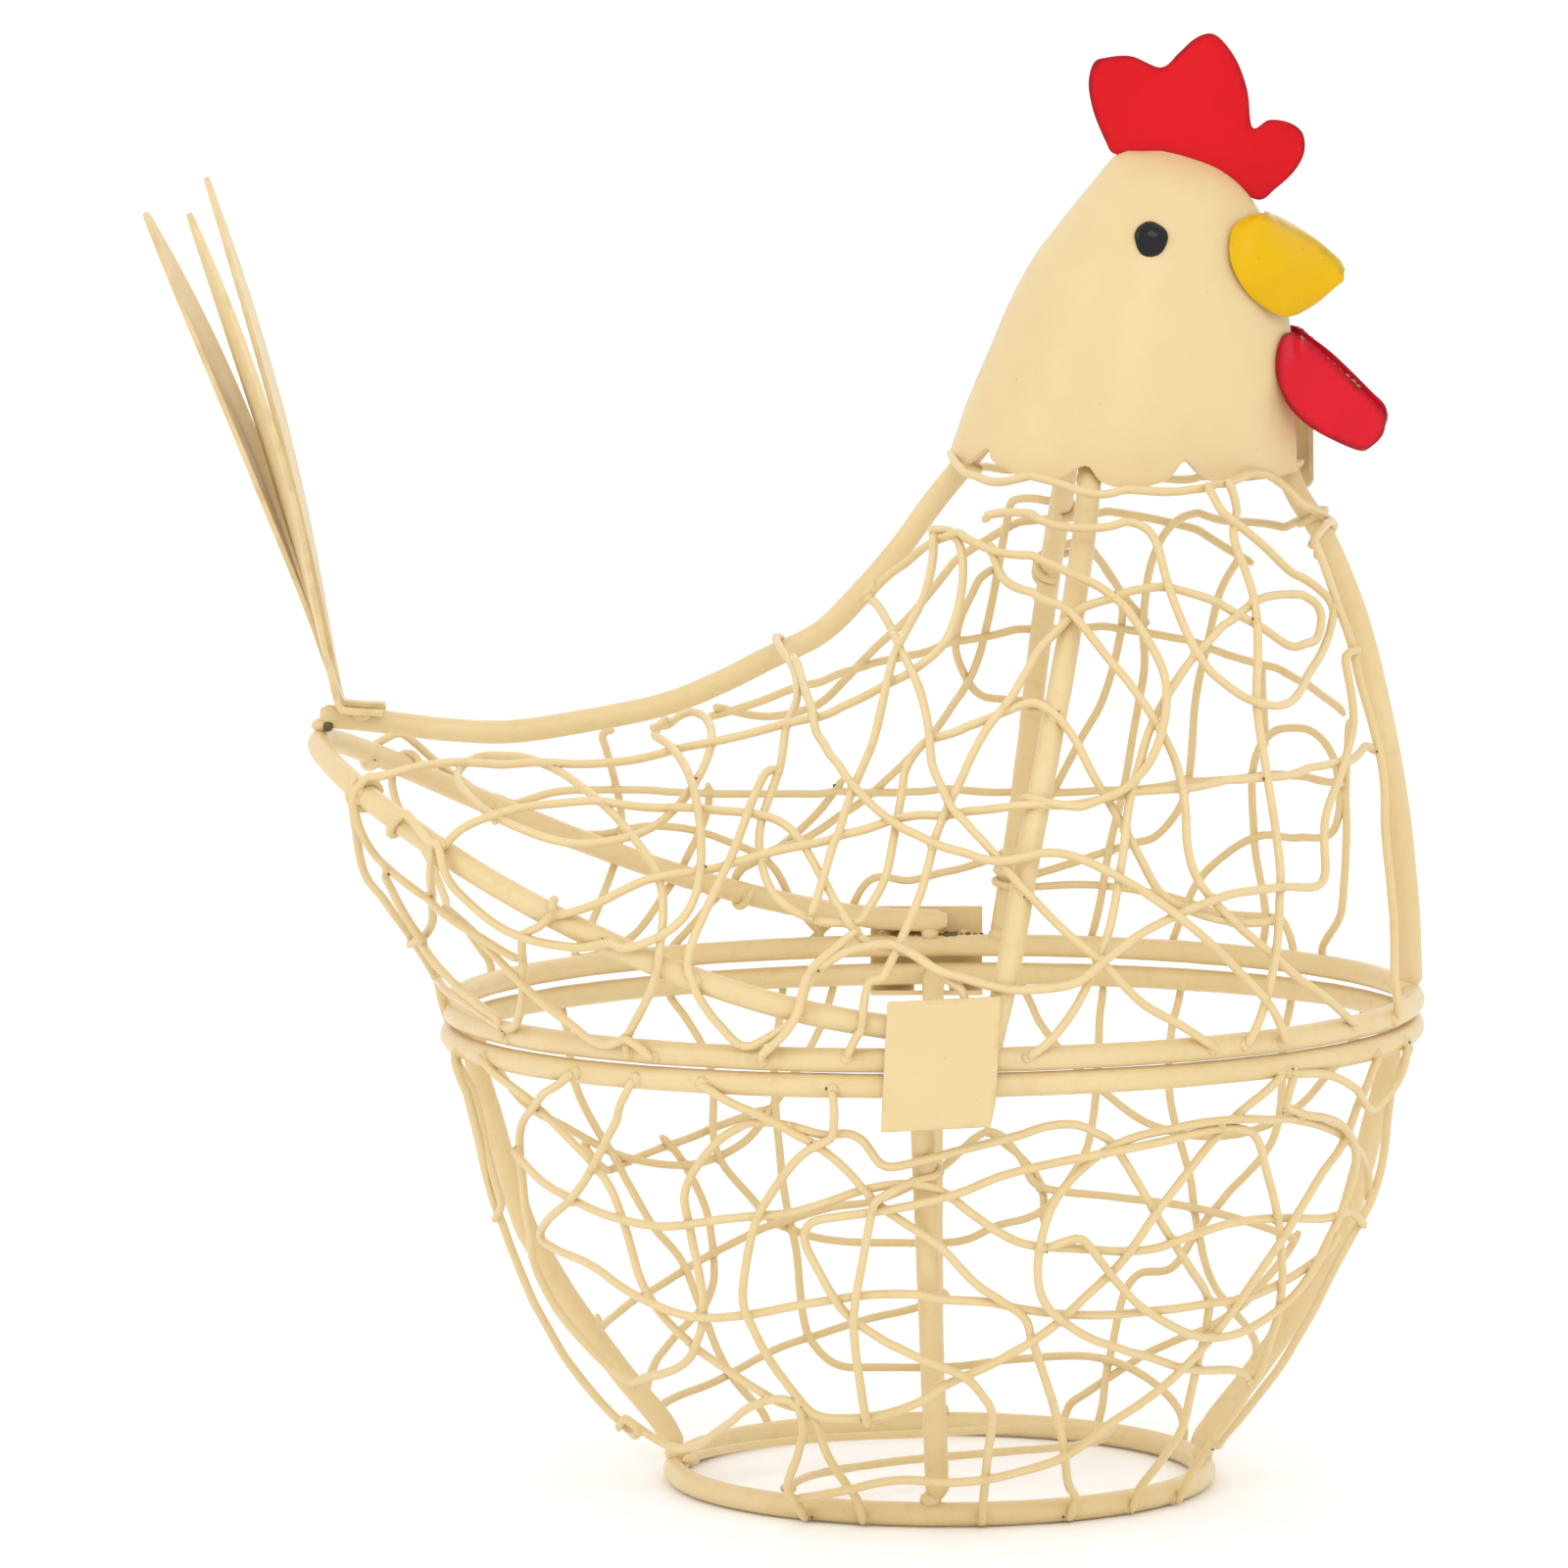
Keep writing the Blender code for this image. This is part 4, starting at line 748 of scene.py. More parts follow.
    ("basket_wire_near_16", [(21.7, 51.1), (30.5, 39.9), (41.6, 33.1), (52.7, 35.4), (61.5, 44.3),
        (66, 55.6), (63.7, 64.5), (54.9, 69)]),
    ("basket_wire_far_12", [(-74, 68), (-68, 58), (-60, 52), (-50, 46), (-40, 44), (-31, 47),
        (-25, 54), (-20, 62), (-17, 68), (-15, 74.3)]),
    ("basket_wire_far_13", [(70, 66), (62, 56), (52, 50), (40, 50), (30, 56), (22, 64),
        (16, 74.3)]),
    ("basket_wire_far_14", [(66, 46), (58, 30), (48, 20), (36, 14), (24, 6)]),
    ("lid_wire_far_8", [(8.5, 145.5), (5.5, 136.5), (5.5, 130.5), (9, 124), (14.5, 123)]),
    ("lid_wire_far_9", [(28, 150), (33, 141), (31, 125.5), (27, 117), (20, 103), (14, 96),
        (6.5, 93), (-2, 91), (-12, 87), (-20, 80)]),
    ("lid_wire_far_10", [(56, 131), (56.5, 116)]),
    ("lid_wire_far_11", [(70.5, 124), (69, 112), (69.5, 103), (70, 90), (67, 83)]),
    ("lid_wire_far_12", [(19, 90), (27.5, 90.5), (40, 89.5), (50, 87), (60, 87)]),
    ("lid_wire_far_13", [(-10, 122), (-12, 113), (-16, 106), (-24, 97), (-32, 92.5)]),
    ("lid_wire_far_14", [(26.5, 151.5), (32.5, 142), (36.5, 137)]),
    ("basket_wire_far_7", [(-49, 52.5), (-42.5, 47), (-38, 39), (-36, 31), (-36.5, 23),
        (-42.5, 17.5), (-47.5, 9.5)]),
    ("basket_wire_far_8", [(-53.5, 44.5), (-45.5, 47), (-38, 49), (-27, 52.5)]),
    ("basket_wire_far_9", [(-45, 8), (-36, 10), (-24.5, 14), (-12.5, 17), (-4, 18.5)]),
    ("basket_wire_far_10", [(-56.5, 38), (-55.5, 27.5), (-54.5, 20)]),
    ("basket_wire_far_11", [(11, 48), (16.5, 44), (20, 39), (20, 32.5)]),
]
bent = [lay_wire(*length) for length in cage]
wire_pieces = [make_wire(*length, number) for number, length in enumerate(bent)]

# ==== Floor wire ============================================================================
# One more length of the same wire, bent inside the base ring and welded to it, that keeps eggs
# from dropping through the middle of the bowl.

floor_spots = [(-39.5, -5), (-30, 6), (-16, 14), (0, 18), (18, 24), (30, 22), (26, 8), (12, 0),
               (-4, -8), (-18, -20), (-23.5, -31.5)]
floor_line = smooth([(x, y, 4.6) for x, y in floor_spots], 150)
floor_wire = grown("basket_floor_wire_bent", guide_line("floor", floor_line, False, 0.7),
                   round_wire, {"Radius": WIRE_R / 1000, "Sides": 12, "Unevenness": 0.00026,
                                "Grain": 260.0, "Seed": 71.0, "Paint": cream})
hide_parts("basket_floor_wire")
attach(floor_wire, "basket")
wire_pieces.append(floor_wire)
for x, y in (floor_spots[0], floor_spots[-1]):
    welds.append((np.array((x, y, 4.2)), UP, 1.3, "basket"))

# ==== Head ==================================================================================
# Two halves stamped from 0.8 mm sheet iron, left and right, tacked together along their back
# seam. The skirt is cut in scallops and stands on the tops of the ribs; cream enamel.

HEAD_ROWS = [   # height, back edge, front edge, half width, gap at the front edge
    (172.5, 3.9, 59.0, 20.5, 3.8), (178, 5.8, 58.9, 19.8, 3.6), (186, 9.2, 58.3, 18.6, 3.2),
    (194, 12.6, 57.4, 17.0, 2.4), (201, 16.4, 56.0, 15.2, 1.6), (205.8, 20.0, 54.2, 13.2, 1.0),
    (209.6, 23.0, 52.3, 11.0, 0.9), (213.0, 25.8, 49.4, 8.4, 0.9), (215.6, 27.9, 45.6, 5.4, 0.9),
    (217.4, 29.6, 40.5, 2.8, 0.9), (218.2, 31.5, 37.0, 1.0, 0.9)]
SCALLOPS = [(2.6, 168.7), (5, 168), (7.5, 170.6), (9, 168.5), (14, 166.3), (20, 166.3),
            (24, 168.2), (27, 165.6), (32, 164.6), (37.5, 165.8), (40, 168.8), (43, 166.5),
            (48, 165.3), (54, 165.5), (59.4, 166.4)]
SEAM = 0.7            # half the gap at the back seam
head_rows = smooth(HEAD_ROWS, 240)


def head_section(z, part, lap=0.0):
    """Outer face of the head at height z; part runs 0 at the back seam to 1 in front."""
    lowest, above = head_rows[0], head_rows[20]
    if z < lowest[0]:
        below = lowest + (lowest - above) * (lowest[0] - z) / (above[0] - lowest[0])
        back, front, wide, gap = below[1:]
    else:
        back, front, wide, gap = [float(np.interp(z, head_rows[:, 0], head_rows[:, k]))
                                  for k in range(1, 5)]
    along = (1 - cos(pi * part)) / 2
    front += lap * min(1.0, max(0.0, (181.5 - z) / 4))
    x = back + (front - back) * along
    y = SEAM + (wide - SEAM) * sin(pi * along ** 0.85) ** 0.75 + (gap - SEAM) * along ** 5
    return x, y


def head_width(x, z):
    line = np.array([head_section(z, p) for p in np.linspace(0, 1, 121)])
    return float(np.interp(x, line[:, 0], line[:, 1]))


def mesh_of(name, bm):
    mesh = bpy.data.meshes.new(name)
    bm.to_mesh(mesh)
    bm.free()
    return mesh


def thickened(name, mesh, thick, offset, rounded, paint):
    """Give a bent sheet its thickness and rounded edges, as a plain mesh object."""
    piece = placed(name, mesh)
    wall = piece.modifiers.new("Thickness", "SOLIDIFY")
    wall.thickness = thick / 1000
    wall.offset = offset
    wall.use_even_offset = True
    edge = piece.modifiers.new("Edge", "BEVEL")
    edge.width = rounded / 1000
    edge.segments = 3
    edge.limit_method = "ANGLE"
    edge.angle_limit = radians(52)
    plain = plain_mesh(piece)
    piece.data = plain
    plain.name = name
    plain.materials.clear()
    plain.materials.append(paint)
    plain.shade_smooth()
    return piece


def marked_rim(mesh, points, rim, reach):
    """Store how near each point lies to the cut edge, for the thin paint there."""
    near = np.array([np.linalg.norm(rim - p, axis=1).min() for p in points])
    store(mesh, "cut_edge", np.clip(1 - near / reach, 0, 1))


def sheet_piece(name, rows, thick, offset, rounded, paint):
    """Grid of points (mm) made into a sheet, with its cut edge marked."""
    bm = bmesh.new()
    grid = [[bm.verts.new(v) for v in in_frame(row)] for row in rows]
    for a, b in zip(grid, grid[1:]):
        for j in range(len(a) - 1):
            bm.faces.new((a[j], a[j + 1], b[j + 1], b[j]))
    bmesh.ops.remove_doubles(bm, verts=bm.verts, dist=1e-6)
    spots = np.array([v.co for v in bm.verts]) * 1000
    rim = spots[[v.is_boundary for v in bm.verts]]
    mesh = mesh_of(name, bm)
    marked_rim(mesh, spots, rim, 0.6)
    return thickened(name, mesh, thick, offset, rounded, paint)


head_pieces = []
for half, side, lap in (("near", -1, 0.0), ("far", 1, 3.2)):
    tab = [(58.2, 164.8), (60, 163.2), (61.6, 163.3), (62.6, 165.2)] if lap else SCALLOPS[-1:]
    skirt = smooth(SCALLOPS[:-1] + tab, 400)
    levels = [s[0] for s in HEAD_ROWS]
    heights = np.concatenate([np.linspace(levels[0], 212.5, 34), np.linspace(213.2, 218.2, 10)])
    turns = np.linspace(0, 1, 121)
    rows = []
    for level in range(len(heights) + 5):
        row = []
        for p in turns:
            x_low = head_section(167, p, lap)[0]
            z_low = float(np.interp(x_low, skirt[:, 0], skirt[:, 1]))
            z = (heights[level - 5] if level >= 5
                 else z_low + (heights[0] - z_low) * level / 5)
            x, y = head_section(z, p, lap)
            row.append((x, side * y, z))
        rows.append(row if side < 0 else row[::-1])
    piece = sheet_piece(f"head_shell_{half}_stamped", rows, 0.8, -1.0, 0.3, smooth_cream)
    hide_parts(f"head_shell_{half}")
    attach(piece, "lid")
    head_pieces.append(piece)

# ==== Comb ==================================================================================
# Flat 1 mm sheet iron cut by hand in three lobes, set in the slit between the two head halves
# and brazed there; thick glossy red enamel that thins to a darker line along the cut edge.


def glossy_enamel(name, face, deep, line, pits=None, rough=(0.12, 0.24), shine=0.14):
    """Dipped enamel: slow colour drift, thin dark edge, orange peel, small pits."""
    f = Finish(name)
    tone = f.mix(f.ramp(f.noise(70, 3), 0.35, 0.7, 0, 1), face, deep)
    broken = f.times(f.mark("cut_edge"), f.ramp(f.noise(300, 3), 0.35, 0.6, 0.35, 1.0))
    tone = f.mix(broken, tone, line)
    if pits:
        tone = f.mix(f.ramp(f.noise(1300, 1), 0.75, 0.79, 0, 0.8), tone, pits)
    peel = f.bump(f.noise(320, 2), 0.25, 0.00025)
    return f.done({"Base Color": tone, "Specular IOR Level": shine, "Coat Weight": 0.05,
                   "Coat Roughness": 0.06, "Roughness": f.ramp(f.noise(150, 3), 0.3, 0.7, *rough),
                   "Normal": f.bump(f.noise(95, 1), 0.6, 0.0009, under=peel)})


def closed_curve(points, count):
    """Smooth closed outline through given points."""
    p = np.array(points, float)
    t = np.linspace(0, 1, 17)[:-1, None, None]
    run = bend(np.roll(p, 1, 0), p, np.roll(p, -1, 0), np.roll(p, -2, 0), t)
    run = run.transpose(1, 0, 2).reshape(-1, 2)
    return even_steps(np.vstack([run, run[:1]]), count, closed=True)


def spots_of(mesh):
    co = np.empty(len(mesh.vertices) * 3)
    mesh.vertices.foreach_get("co", co)
    return co.reshape(-1, 3)


def edge_marks(piece, outline, reach):
    """Mark the cut edge of a piece whose outline is drawn in the upright plane."""
    spots = spots_of(piece.data) * 1000 - (AXIS_X, AXIS_Y, 0)
    marked_rim(piece.data, spots[:, [0, 2]], outline, reach)


def cut_piece(name, outline, depth, thick, rounded, paint):
    """Sheet cut to an outline in the upright plane and dished by depth(x, z)."""
    bm = bmesh.new()
    face = bm.faces.new([bm.verts.new((x, 0, z)) for x, z in outline])
    for step in (0.5, 0.8):
        bmesh.ops.inset_region(bm, faces=[face], thickness=step, use_even_offset=True)
    low, high = outline.min(axis=0), outline.max(axis=0)
    for axis, across in ((0, Vector((1, 0, 0))), (1, Vector((0, 0, 1)))):
        count = int((high[axis] - low[axis]) / 0.9)
        for k in range(1, count):
            at = low[axis] + (high[axis] - low[axis]) * k / count
            bmesh.ops.bisect_plane(bm, geom=bm.verts[:] + bm.edges[:] + bm.faces[:],
                                   plane_co=across * at, plane_no=across)
    bmesh.ops.remove_doubles(bm, verts=bm.verts, dist=0.05)
    for vert in bm.verts:
        x, z = vert.co.x, vert.co.z
        vert.co = in_frame([(x, depth(x, z), z)])[0]
    bmesh.ops.recalc_face_normals(bm, faces=bm.faces)
    return thickened(name, mesh_of(name, bm), thick, 0.0, rounded, paint)


COMB = [(29.8, 218.2), (28.4, 220.2), (26.4, 225.0), (25.6, 229.5), (26.4, 232.9),
        (28.5, 233.8), (32.5, 234), (37.3, 232.2), (40.2, 234.5), (42.7, 236.8), (45.3, 237.7),
        (47.4, 236.4), (49.8, 232.9), (51.4, 228.2), (52.2, 222.5), (54.9, 223.7),
        (58.1, 223.3), (60.3, 221.6), (60.6, 218.5), (59, 215.4), (56, 212.6), (53, 210.8),
        (47, 214.0), (41, 216.2), (34, 217.8)]
comb_red = glossy_enamel("comb_red_enamel", (0.665, 0.004, 0.011), (0.60, 0.003, 0.008),
                         (0.20, 0.004, 0.008))
comb_outline = closed_curve(COMB, 230) - (0.4, 0.5)
comb = cut_piece("comb_cut", comb_outline, lambda x, z: 0.25 * sin((x - 30) / 7.0), 1.0, 0.32,
                 comb_red)
edge_marks(comb, comb_outline, 0.75)
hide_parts("comb")
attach(comb, "lid")

# ==== Beak ==================================================================================
# Two halves of thin sheet iron, dished and soldered together along the top ridge, then set over
# the front of the head; glossy yellow enamel with a rough brown line of solder on the ridge.

beak_yellow = glossy_enamel("beak_yellow_enamel", (0.735, 0.445, 0.002), (0.69, 0.385, 0.002),
                            (0.42, 0.30, 0.03), pits=(0.30, 0.15, 0.01))
RIDGE = [(53.6, 207.7, 0.5), (55.4, 207.1, 0.5), (57.9, 205.8, 0.5), (60.1, 204.5, 0.5),
         (62.3, 203.0, 0.5), (64.2, 201.4, 0.5), (65.6, 200.0, 0.5), (66.2, 198.7, 0.5)]
BEAK_EDGE = [(51.2, 207.3, None), (48.5, 205.3, None), (48.0, 201.0, None), (49.6, 197.3, None),
             (52.3, 194.3, None), (56.6, 192.0, 7.2), (61.4, 194.0, 4.4), (65.2, 197.2, 1.8)]
for half, side in (("near", -1), ("far", 1)):
    ridge = smooth(RIDGE, 50)
    edge = smooth([(x, z, head_width(x, z) + 0.5 if y is None else y)
                   for x, z, y in BEAK_EDGE], 50)
    rows = []
    for (xa, za, ya), (xb, zb, yb) in zip(ridge, edge):
        row = []
        for t in np.linspace(0, 1, 26):
            swell = 3.4 * sin(pi * t) ** 0.8 * float(np.interp(xa, [60, 64], [1, 0.5]))
            row.append((xa + (xb - xa) * t + 0.35 * swell, side * (ya + (yb - ya) * t + swell),
                        za + (zb - za) * t))
        rows.append(row if side < 0 else row[::-1])
    piece = sheet_piece(f"beak_{half}_dished", rows, 0.8, 1.0, 0.3, beak_yellow)
    edge_marks(piece, ridge[:, :2], 0.8)
    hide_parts(f"beak_{half}")
    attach(piece, "lid")

# ==== Wattles ===============================================================================
# A pair of drop-shaped flaps cut from the same thin sheet, dished a little, brazed to each other
# along the top edge and to the throat; glossy red enamel a shade deeper than the comb.

wattle_red = glossy_enamel("wattle_red_enamel", (0.69, 0.005, 0.024), (0.60, 0.004, 0.016),
                           (0.13, 0.010, 0.008))
WATTLE = [(58.4, 188.8), (61.2, 186.9), (64.2, 184.6), (67.5, 181.5), (70.7, 178.3),
          (72.8, 176.2), (73.3, 174), (72.8, 172.1), (71.2, 170.6), (69.3, 170), (64.7, 171.9),
          (60.7, 174.2), (57.8, 177), (56.2, 180), (55.6, 183), (55.9, 186.4), (57, 188.6)]
for half, side, shift in (("near", -1, 0.0), ("far", 1, 0.8)):
    def hang(x, z, side=side, shift=shift):
        away = (189.5 - z) * 0.72 - (x - 58.6 - shift) * 0.70
        clear = head_width(x, z) + 1.0 if x < 59.5 and z < 191 else 0.0
        return side * max(1.6 + 0.86 * max(0.0, away), clear)

    outline = closed_curve([(x + shift, z + shift) for x, z in WATTLE], 170)
    piece = cut_piece(f"wattle_{half}_cut", outline, hang, 0.8, 0.28, wattle_red)
    edge_marks(piece, outline, 0.7)
    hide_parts(f"wattle_{half}")
    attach(piece, "lid")

# ==== Eyes ==================================================================================
# A thick round drop of black enamel on each side of the head, domed by its own surface tension,
# slightly uneven at its rim.

eye_black = glossy_enamel("eye_black_enamel", (0.004, 0.004, 0.005), (0.008, 0.008, 0.008),
                          (0.03, 0.026, 0.02), rough=(0.05, 0.12), shine=0.3)
EYE_X, EYE_Z = 34.8, 204.3
for half, side in (("near", -1), ("far", 1)):
    bm = bmesh.new()
    bmesh.ops.create_uvsphere(bm, u_segments=40, v_segments=24, radius=1.0)
    spot = (EYE_X, side * (head_width(EYE_X, EYE_Z) + 0.05), EYE_Z)
    for vert in bm.verts:
        x, y, z = vert.co
        rim = sqrt(x * x + z * z)
        turn = np.arctan2(z, x)
        lump = 1 + 0.035 * sin(3 * turn + 0.8) + 0.02 * sin(5 * turn)
        out = max(0.0, side * y) ** 0.8
        lean = 0.32 * 2.8 * z * min(1.0, rim)
        vert.co = in_frame([(spot[0] + 2.7 * lump * x,
                             spot[1] + side * (1.15 * out - lean - 0.3 * (out == 0)),
                             spot[2] + 2.85 * lump * z)])[0]
    bmesh.ops.remove_doubles(bm, verts=bm.verts, dist=1e-7)
    bmesh.ops.recalc_face_normals(bm, faces=bm.faces)
    mesh = mesh_of(f"eye_{half}_drop", bm)
    mesh.materials.append(eye_black)
    mesh.shade_smooth()
    piece = placed(f"eye_{half}_drop", mesh)
    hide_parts(f"eye_{half}")
    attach(piece, "lid")

# ==== Tail feathers =========================================================================
# Three long leaf blades cut from 0.9 mm sheet iron, their feet bent forward and welded side by
# side on the end of the spine; they fan out and lean back.

feather_rows = [(0.0, 2.1), (6, 2.1), (12, 2.7), (20, 4.2), (32, 6.2), (44, 7.3), (54, 7.4),
                (64, 6.6), (73, 4.9), (80, 2.8), (83.5, 1.5), (85, 0.5)]
tail_pieces = []
for which, y, fan, lean, length, yaw, drop in (("near", -4.9, -7.0, 16.1, 83.8, -0.23, 1.9),
                                               ("middle", 0.0, 0.0, 21.4, 85.3, 0.14, 1.0),
                                               ("far", 4.9, 7.0, 14.4, 88.6, 0.02, 1.9)):
    stations = [(-89.5, y, 128.5 - drop, 2.1, 0.0), (-95.4, y, 128.9 - drop, 2.1, 0.0),
                (-97.0, y, 129.9 - drop, 2.1, 0.0)]
    for s, half_wide in feather_rows[1:]:
        s = s * length / 85
        stations.append((-97.2 - s * sin(radians(lean)) + 1.8 * sin(pi * s / length),
                         y + fan * (s / length) ** 1.3, 129.6 - drop + s * cos(radians(lean)),
                         half_wide, yaw * min(1.0, s / 30)))
    rows = []
    for x, mid, z, half_wide, turn in smooth(stations, 110):
        dish = 0.35 * min(1.0, half_wide / 6)
        rows.append([(x + turn * k * half_wide + dish * (k * k - 0.5), mid + k * half_wide, z)
                     for k in np.linspace(-1, 1, 11)])
    piece = sheet_piece(f"tail_feather_{which}_blade", rows, 0.9, 1.0, 0.3, smooth_cream)
    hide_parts(f"tail_feather_{which}")
    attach(piece, "lid")
    tail_pieces.append(piece)
    if y:
        welds.append((np.array((-93.0, y * 0.6, 126.6)), UP, 1.6, "lid"))

# ==== Hinge plate and catch plate ===========================================================
# The hinge is a plate of 0.9 mm sheet welded on the outside of the lid ring and curled under the
# basket's rim ring, with a slot that lets it turn past the rib. The catch is a flat tab welded
# on the lid ring that hangs over the basket's rim ring in front.

CURL_R = 2.95
profile = [(CURL_R, 86.2), (CURL_R, 80.8), (CURL_R, HINGE_Z + 1.2)]
for turn in range(0, -112, -6):
    profile.append((CURL_R * cos(radians(turn)), HINGE_Z + CURL_R * sin(radians(turn))))
bm = bmesh.new()
columns = (-9.2, -5.5, -1.6, 1.4, 4.4, 7.4, 10.2)
SLOT = (-1.6, 1.4)            # columns that are open from the ring down
grid = [[bm.verts.new(v) for v in in_frame([(x, RIM_R + y, z) for x in columns])]
        for y, z in profile]
for i in range(len(grid) - 1):
    for j in range(len(columns) - 1):
        if not (columns[j] in SLOT and 2 <= i < len(profile) - 2):
            bm.faces.new((grid[i][j], grid[i][j + 1], grid[i + 1][j + 1], grid[i + 1][j]))
for vert in [v for v in bm.verts if not v.link_faces]:
    bm.verts.remove(vert)
hinge_plate = thickened("hinge_plate_curled", mesh_of("hinge_plate_curled", bm), 0.85, 1.0, 0.25,
                        smooth_cream)
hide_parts("hinge_plate")

catch_rows = []
for z in np.linspace(89.2, 68.9, 22):
    row = []
    for x in np.linspace(8.8, -8.8, 19):
        corner = max(0.0, x - 5.6) * max(0.0, 72.5 - z) * 0.05
        row.append((x + 0.05 * (z - 79) - corner, -(RIM_R + ROD_R + 0.12), z + 0.05 * x))
    catch_rows.append(row)
catch_plate = sheet_piece("catch_plate_tab", catch_rows, 0.9, 1.0, 0.28, smooth_cream)
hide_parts("catch_plate")
for piece in (hinge_plate, catch_plate):
    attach(piece, "lid")
for x in (-6.5, -2.0, 2.5, 6.8):
    welds.append((np.array((x, -(RIM_R + 1.75), 82.2)), np.array((0.0, -1.0, 0.0)), 1.2, "lid"))
    welds.append((np.array((x, RIM_R + 1.75, 81.2)), np.array((0.0, 1.0, 0.0)), 1.2, "lid"))

# ==== Welds =================================================================================
# Every crossing is fused by a small spot of weld metal under the paint. The beads are lumpy,
# flattened drops that fill the corners where two lengths meet.


def weld_tree():
    tree, start = tree_with("weld_beads", [
        ("Bead radius", "NodeSocketFloat", 0.001), ("Lumps", "NodeSocketFloat", 0.0002),
        ("Seed", "NodeSocketInt", 3), ("Paint", "NodeSocketMaterial", None)])
    bead = planted(tree, "GeometryNodeMeshIcoSphere", {
        "Subdivisions": 2, "Radius": start["Bead radius"]})["Mesh"]
    turn = planted(tree, "FunctionNodeAlignRotationToVector", {
        "Vector": stored(tree, "outward", "FLOAT_VECTOR")}, axis="Z")["Rotation"]
    size = stored(tree, "size")
    vary = planted(tree, "FunctionNodeRandomValue", {2: 0.85, 3: 1.15, "Seed": start["Seed"]})[1]
    wide = product(tree, size, vary)
    flat = planted(tree, "ShaderNodeCombineXYZ", {
        "X": wide, "Y": wide, "Z": product(tree, size, 0.72)})["Vector"]
    beads = planted(tree, "GeometryNodeInstanceOnPoints", {
        "Points": start["Geometry"], "Instance": bead, "Rotation": turn, "Scale": flat})
    loose = planted(tree, "GeometryNodeRealizeInstances", {"Geometry": beads["Instances"]})
    grain = planted(tree, "ShaderNodeTexNoise", {"Scale": 700.0})["Fac"]
    lumpy = roughened(tree, loose["Geometry"], grain, 0.5, start["Lumps"])
    realized(tree, lumpy, start["Paint"])
    return tree


bead_tree = weld_tree()


def drops(name, label, spots, lumps, seed, paint):
    """Weld metal at spots of (place, outward direction, size)."""
    mesh = bpy.data.meshes.new(label + "_spots")
    mesh.from_pydata([tuple(v) for v in in_frame([s[0] for s in spots])], [], [])
    store(mesh, "size", [s[2] for s in spots])
    store(mesh, "outward", [s[1] for s in spots], "FLOAT_VECTOR")
    return grown(name, mesh, bead_tree, {
        "Bead radius": 0.001, "Lumps": lumps, "Seed": seed, "Paint": paint})


for body in ("basket", "lid"):
    spots = [w[:3] for w in welds if w[3] == body]
    beads = drops(body + "_welds", body + "_weld", spots, 0.0005, 3, cream)
    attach(beads, body)
    wire_pieces.append(beads)

# Where paint has missed the metal: brassy solder on the wattles' top edge and the beak's ridge,
# burnt steel along the hinge plate's join, and pin holes beside some of the wire welds.


def bare_metal(name, first, second, rough):
    f = Finish(name)
    grain = f.noise(900.0, 3.0)
    return f.done({"Base Color": f.mix(grain, first, second), "Roughness": rough,
                   "Normal": f.bump(grain, 0.5, 0.0002)})


brass = bare_metal("brassy_solder", (0.50, 0.30, 0.06), (0.20, 0.10, 0.03), 0.4)
burnt = bare_metal("burnt_steel", (0.20, 0.13, 0.06), (0.05, 0.035, 0.02), 0.6)
pick = np.random.default_rng(12)
marks = {"solder": (brass, [], "lid"), "burnt_lid": (burnt, [], "lid"),
         "burnt_basket": (burnt, [], "basket")}
for x, z, size in [(62.6, 185.2, 0.5), (63.8, 184.3, 0.62), (64.9, 183.5, 0.55), (66.0, 182.6, 0.4),
                   (67.2, 181.5, 0.55), (68.2, 180.6, 0.62), (69.0, 179.9, 0.5)]:
    marks["solder"][1].append(((x, -1.2, z), (0.0, -1.0, 0.6), size))
for x, z, y in smooth(RIDGE, 30)[3:]:
    size = float(np.interp(x, [54, 62, 66.5], [0.16, 0.26, 0.5]))
    marks["solder"][1].append(((x + 0.25, -0.1, z + 0.2), (0.5, 0.0, 1.0), size))
for x in np.linspace(-5.5, 10.0, 14):
    lump = float(pick.uniform(0.35, 0.8))
    marks["burnt_lid"][1].append(((x, RIM_R - 0.6, LID_RIM_Z + 2.1), (0.0, -0.6, 1.0), lump))
for spot, out, size, body in welds:
    if size < 1.2 and pick.random() < 0.4:
        around = np.cross(out, pick.normal(size=3))
        around = around / np.linalg.norm(around)
        marks["burnt_" + body][1].append((spot + around * size * 0.75 + out * size * 0.35, out,
                                          float(pick.uniform(0.16, 0.34))))
marks["burnt_lid"][1].append(((-98.6, -1.6, 124.6), (0.0, -1.0, 0.3), 0.8))
for label, (metal, spots, body) in marks.items():
    spatter = drops(label + "_marks", label, spots, 0.0002, 5, metal)
    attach(spatter, body)
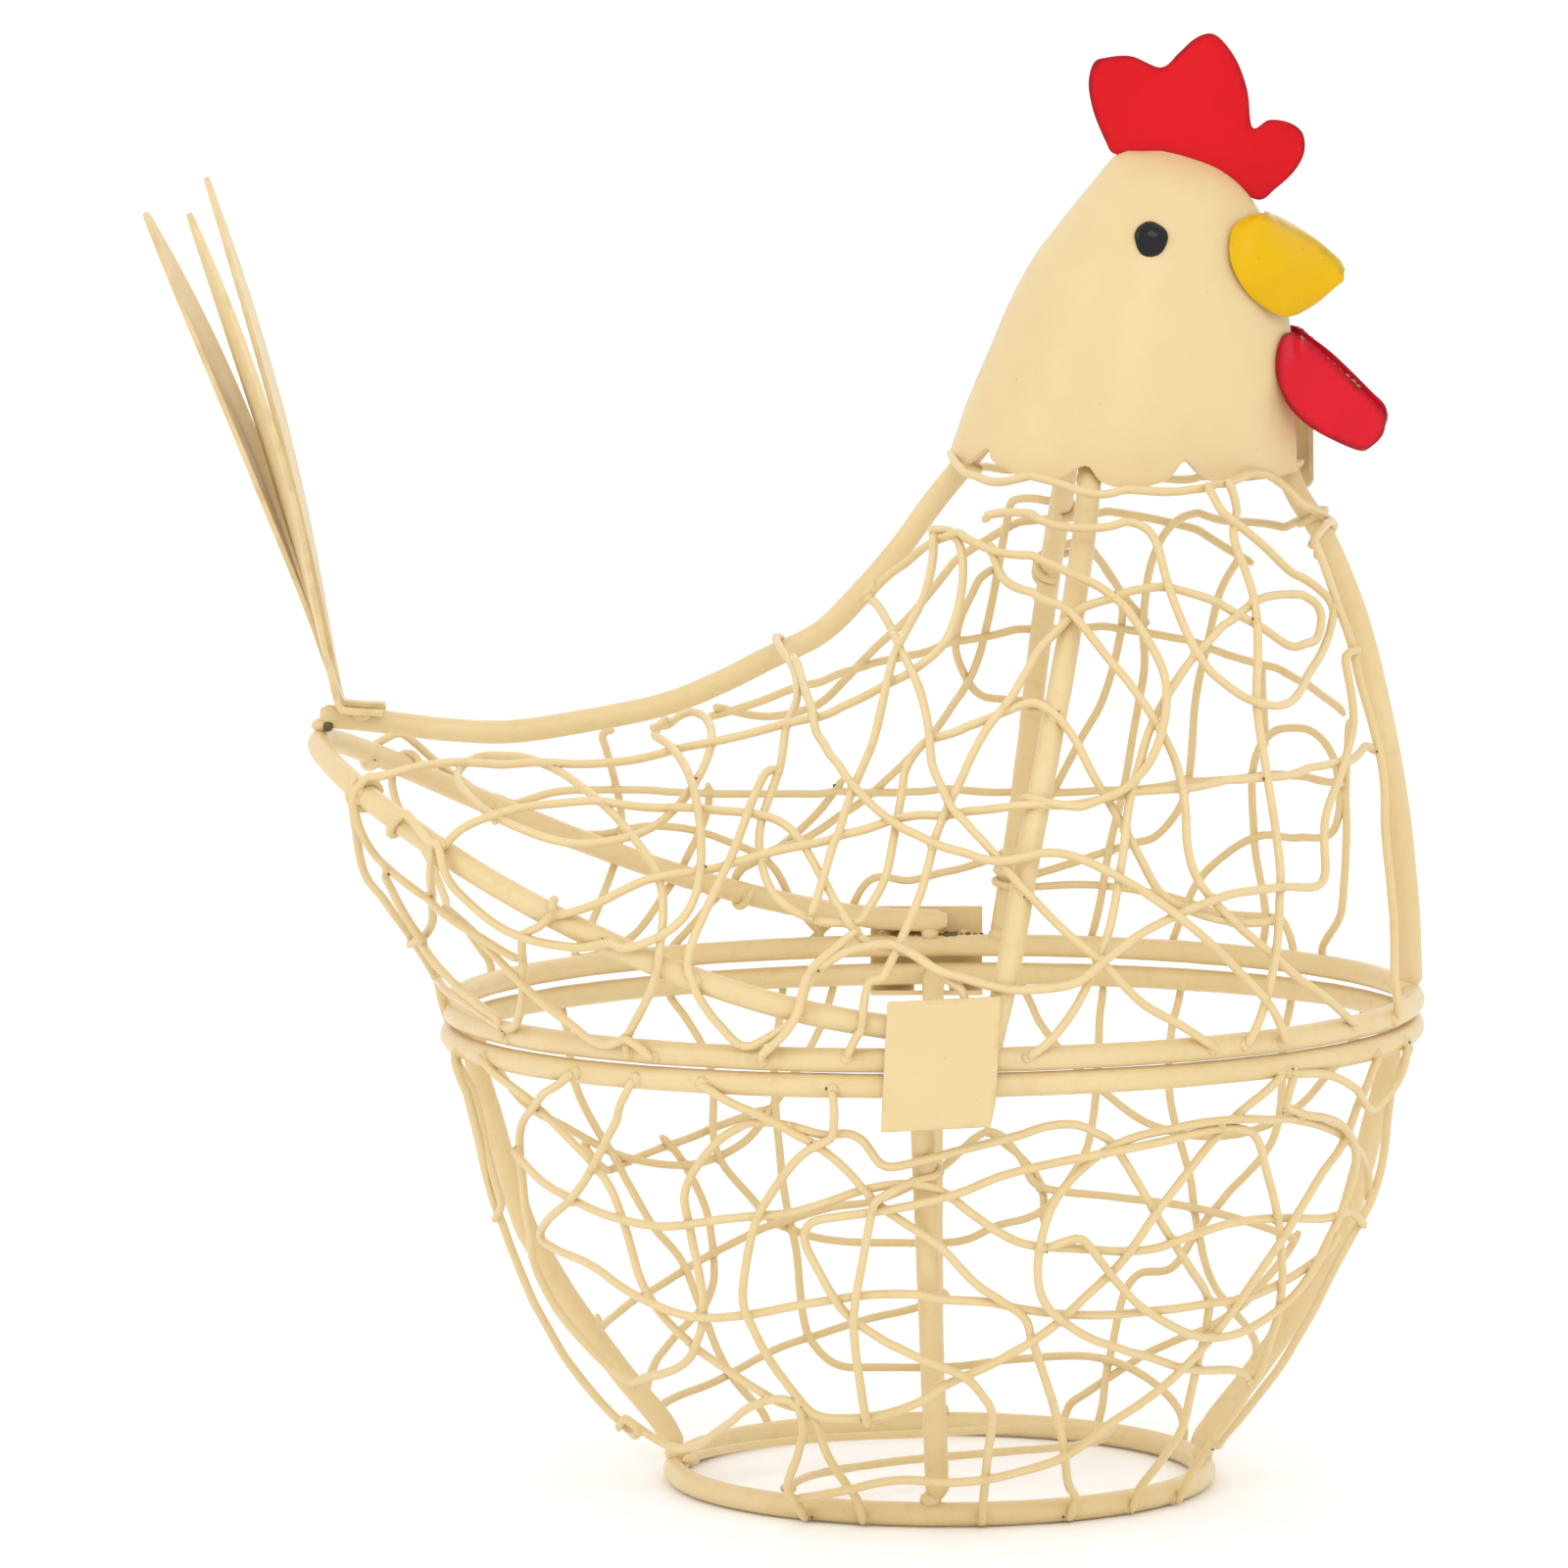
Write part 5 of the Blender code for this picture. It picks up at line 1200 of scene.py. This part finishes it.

# Painted shade darkens the cream in the corner of each weld: mark how near each vertex is to one.
for piece in rod_pieces + wire_pieces + head_pieces + tail_pieces + [hinge_plate]:
    body = piece["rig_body"]
    spots = in_frame([w[0] for w in welds if w[3] == body])
    co = spots_of(piece.data)
    near = np.full(len(co), 1.0)
    for k in range(0, len(co), 4000):
        gap = np.linalg.norm(co[k:k + 4000, None] - spots[None], axis=2)
        near[k:k + 4000] = gap.min(axis=1)
    store(piece.data, "nook", np.clip(1.3 - near * 1000 / 1.25, 0, 1))

# ==== Stage: pale floor, soft studio light and camera =======================================
# A plain white table under a white sky, with wide soft lights in front, on the left and behind,
# as in a small product studio.

floor_mesh = bpy.data.meshes.new("studio_floor")
floor_mesh.from_pydata([(-400, -400, 0), (400, -400, 0), (400, 400, 0), (-400, 400, 0)], [],
                       [(0, 1, 2, 3)])
floor = placed("studio_floor", floor_mesh)
white = bpy.data.materials.new("white_table")
white.use_nodes = True
wired(white.node_tree, white.node_tree.nodes["Principled BSDF"], {
    "Base Color": (0.99, 0.99, 0.99, 1), "Roughness": 0.9})
floor_mesh.materials.append(white)

world = bpy.data.worlds.new("studio")
bpy.context.scene.world = world
world.use_nodes = True
wired(world.node_tree, world.node_tree.nodes["Background"], {
    "Color": (1.0, 1.0, 1.0, 1), "Strength": 1.06})


def aimed(name, data, place, aim):
    """A lamp or a camera at one place, turned to another."""
    obj = placed(name, data)
    obj.location = place
    obj.rotation_euler = (Vector(aim) - Vector(place)).to_track_quat("-Z", "Y").to_euler()
    return obj


for name, place, size, watts in (("front_box", (0.25, -1.3, 1.0), 0.9, 3.0),
                                 ("left_box", (-1.2, -0.7, 0.9), 0.8, 2.0),
                                 ("back_box", (0.3, 1.2, 1.1), 1.0, 1.5)):
    lamp = bpy.data.lights.new(name, "AREA")
    lamp.shape = "DISK"
    lamp.size = size
    lamp.energy = watts
    aimed(name, lamp, place, (0.02, 0, 0.12))

camera_data = bpy.data.cameras.new("camera")
camera_data.lens = 194.0
camera_data.sensor_width = 36.0
camera_data.clip_start = 0.1
camera = aimed("camera", camera_data, (0.00022, -1.37513, 0.242), (0.00022, -0.00013, 0.115))
bpy.context.scene.camera = camera
bpy.context.scene.view_settings.view_transform = "Standard"
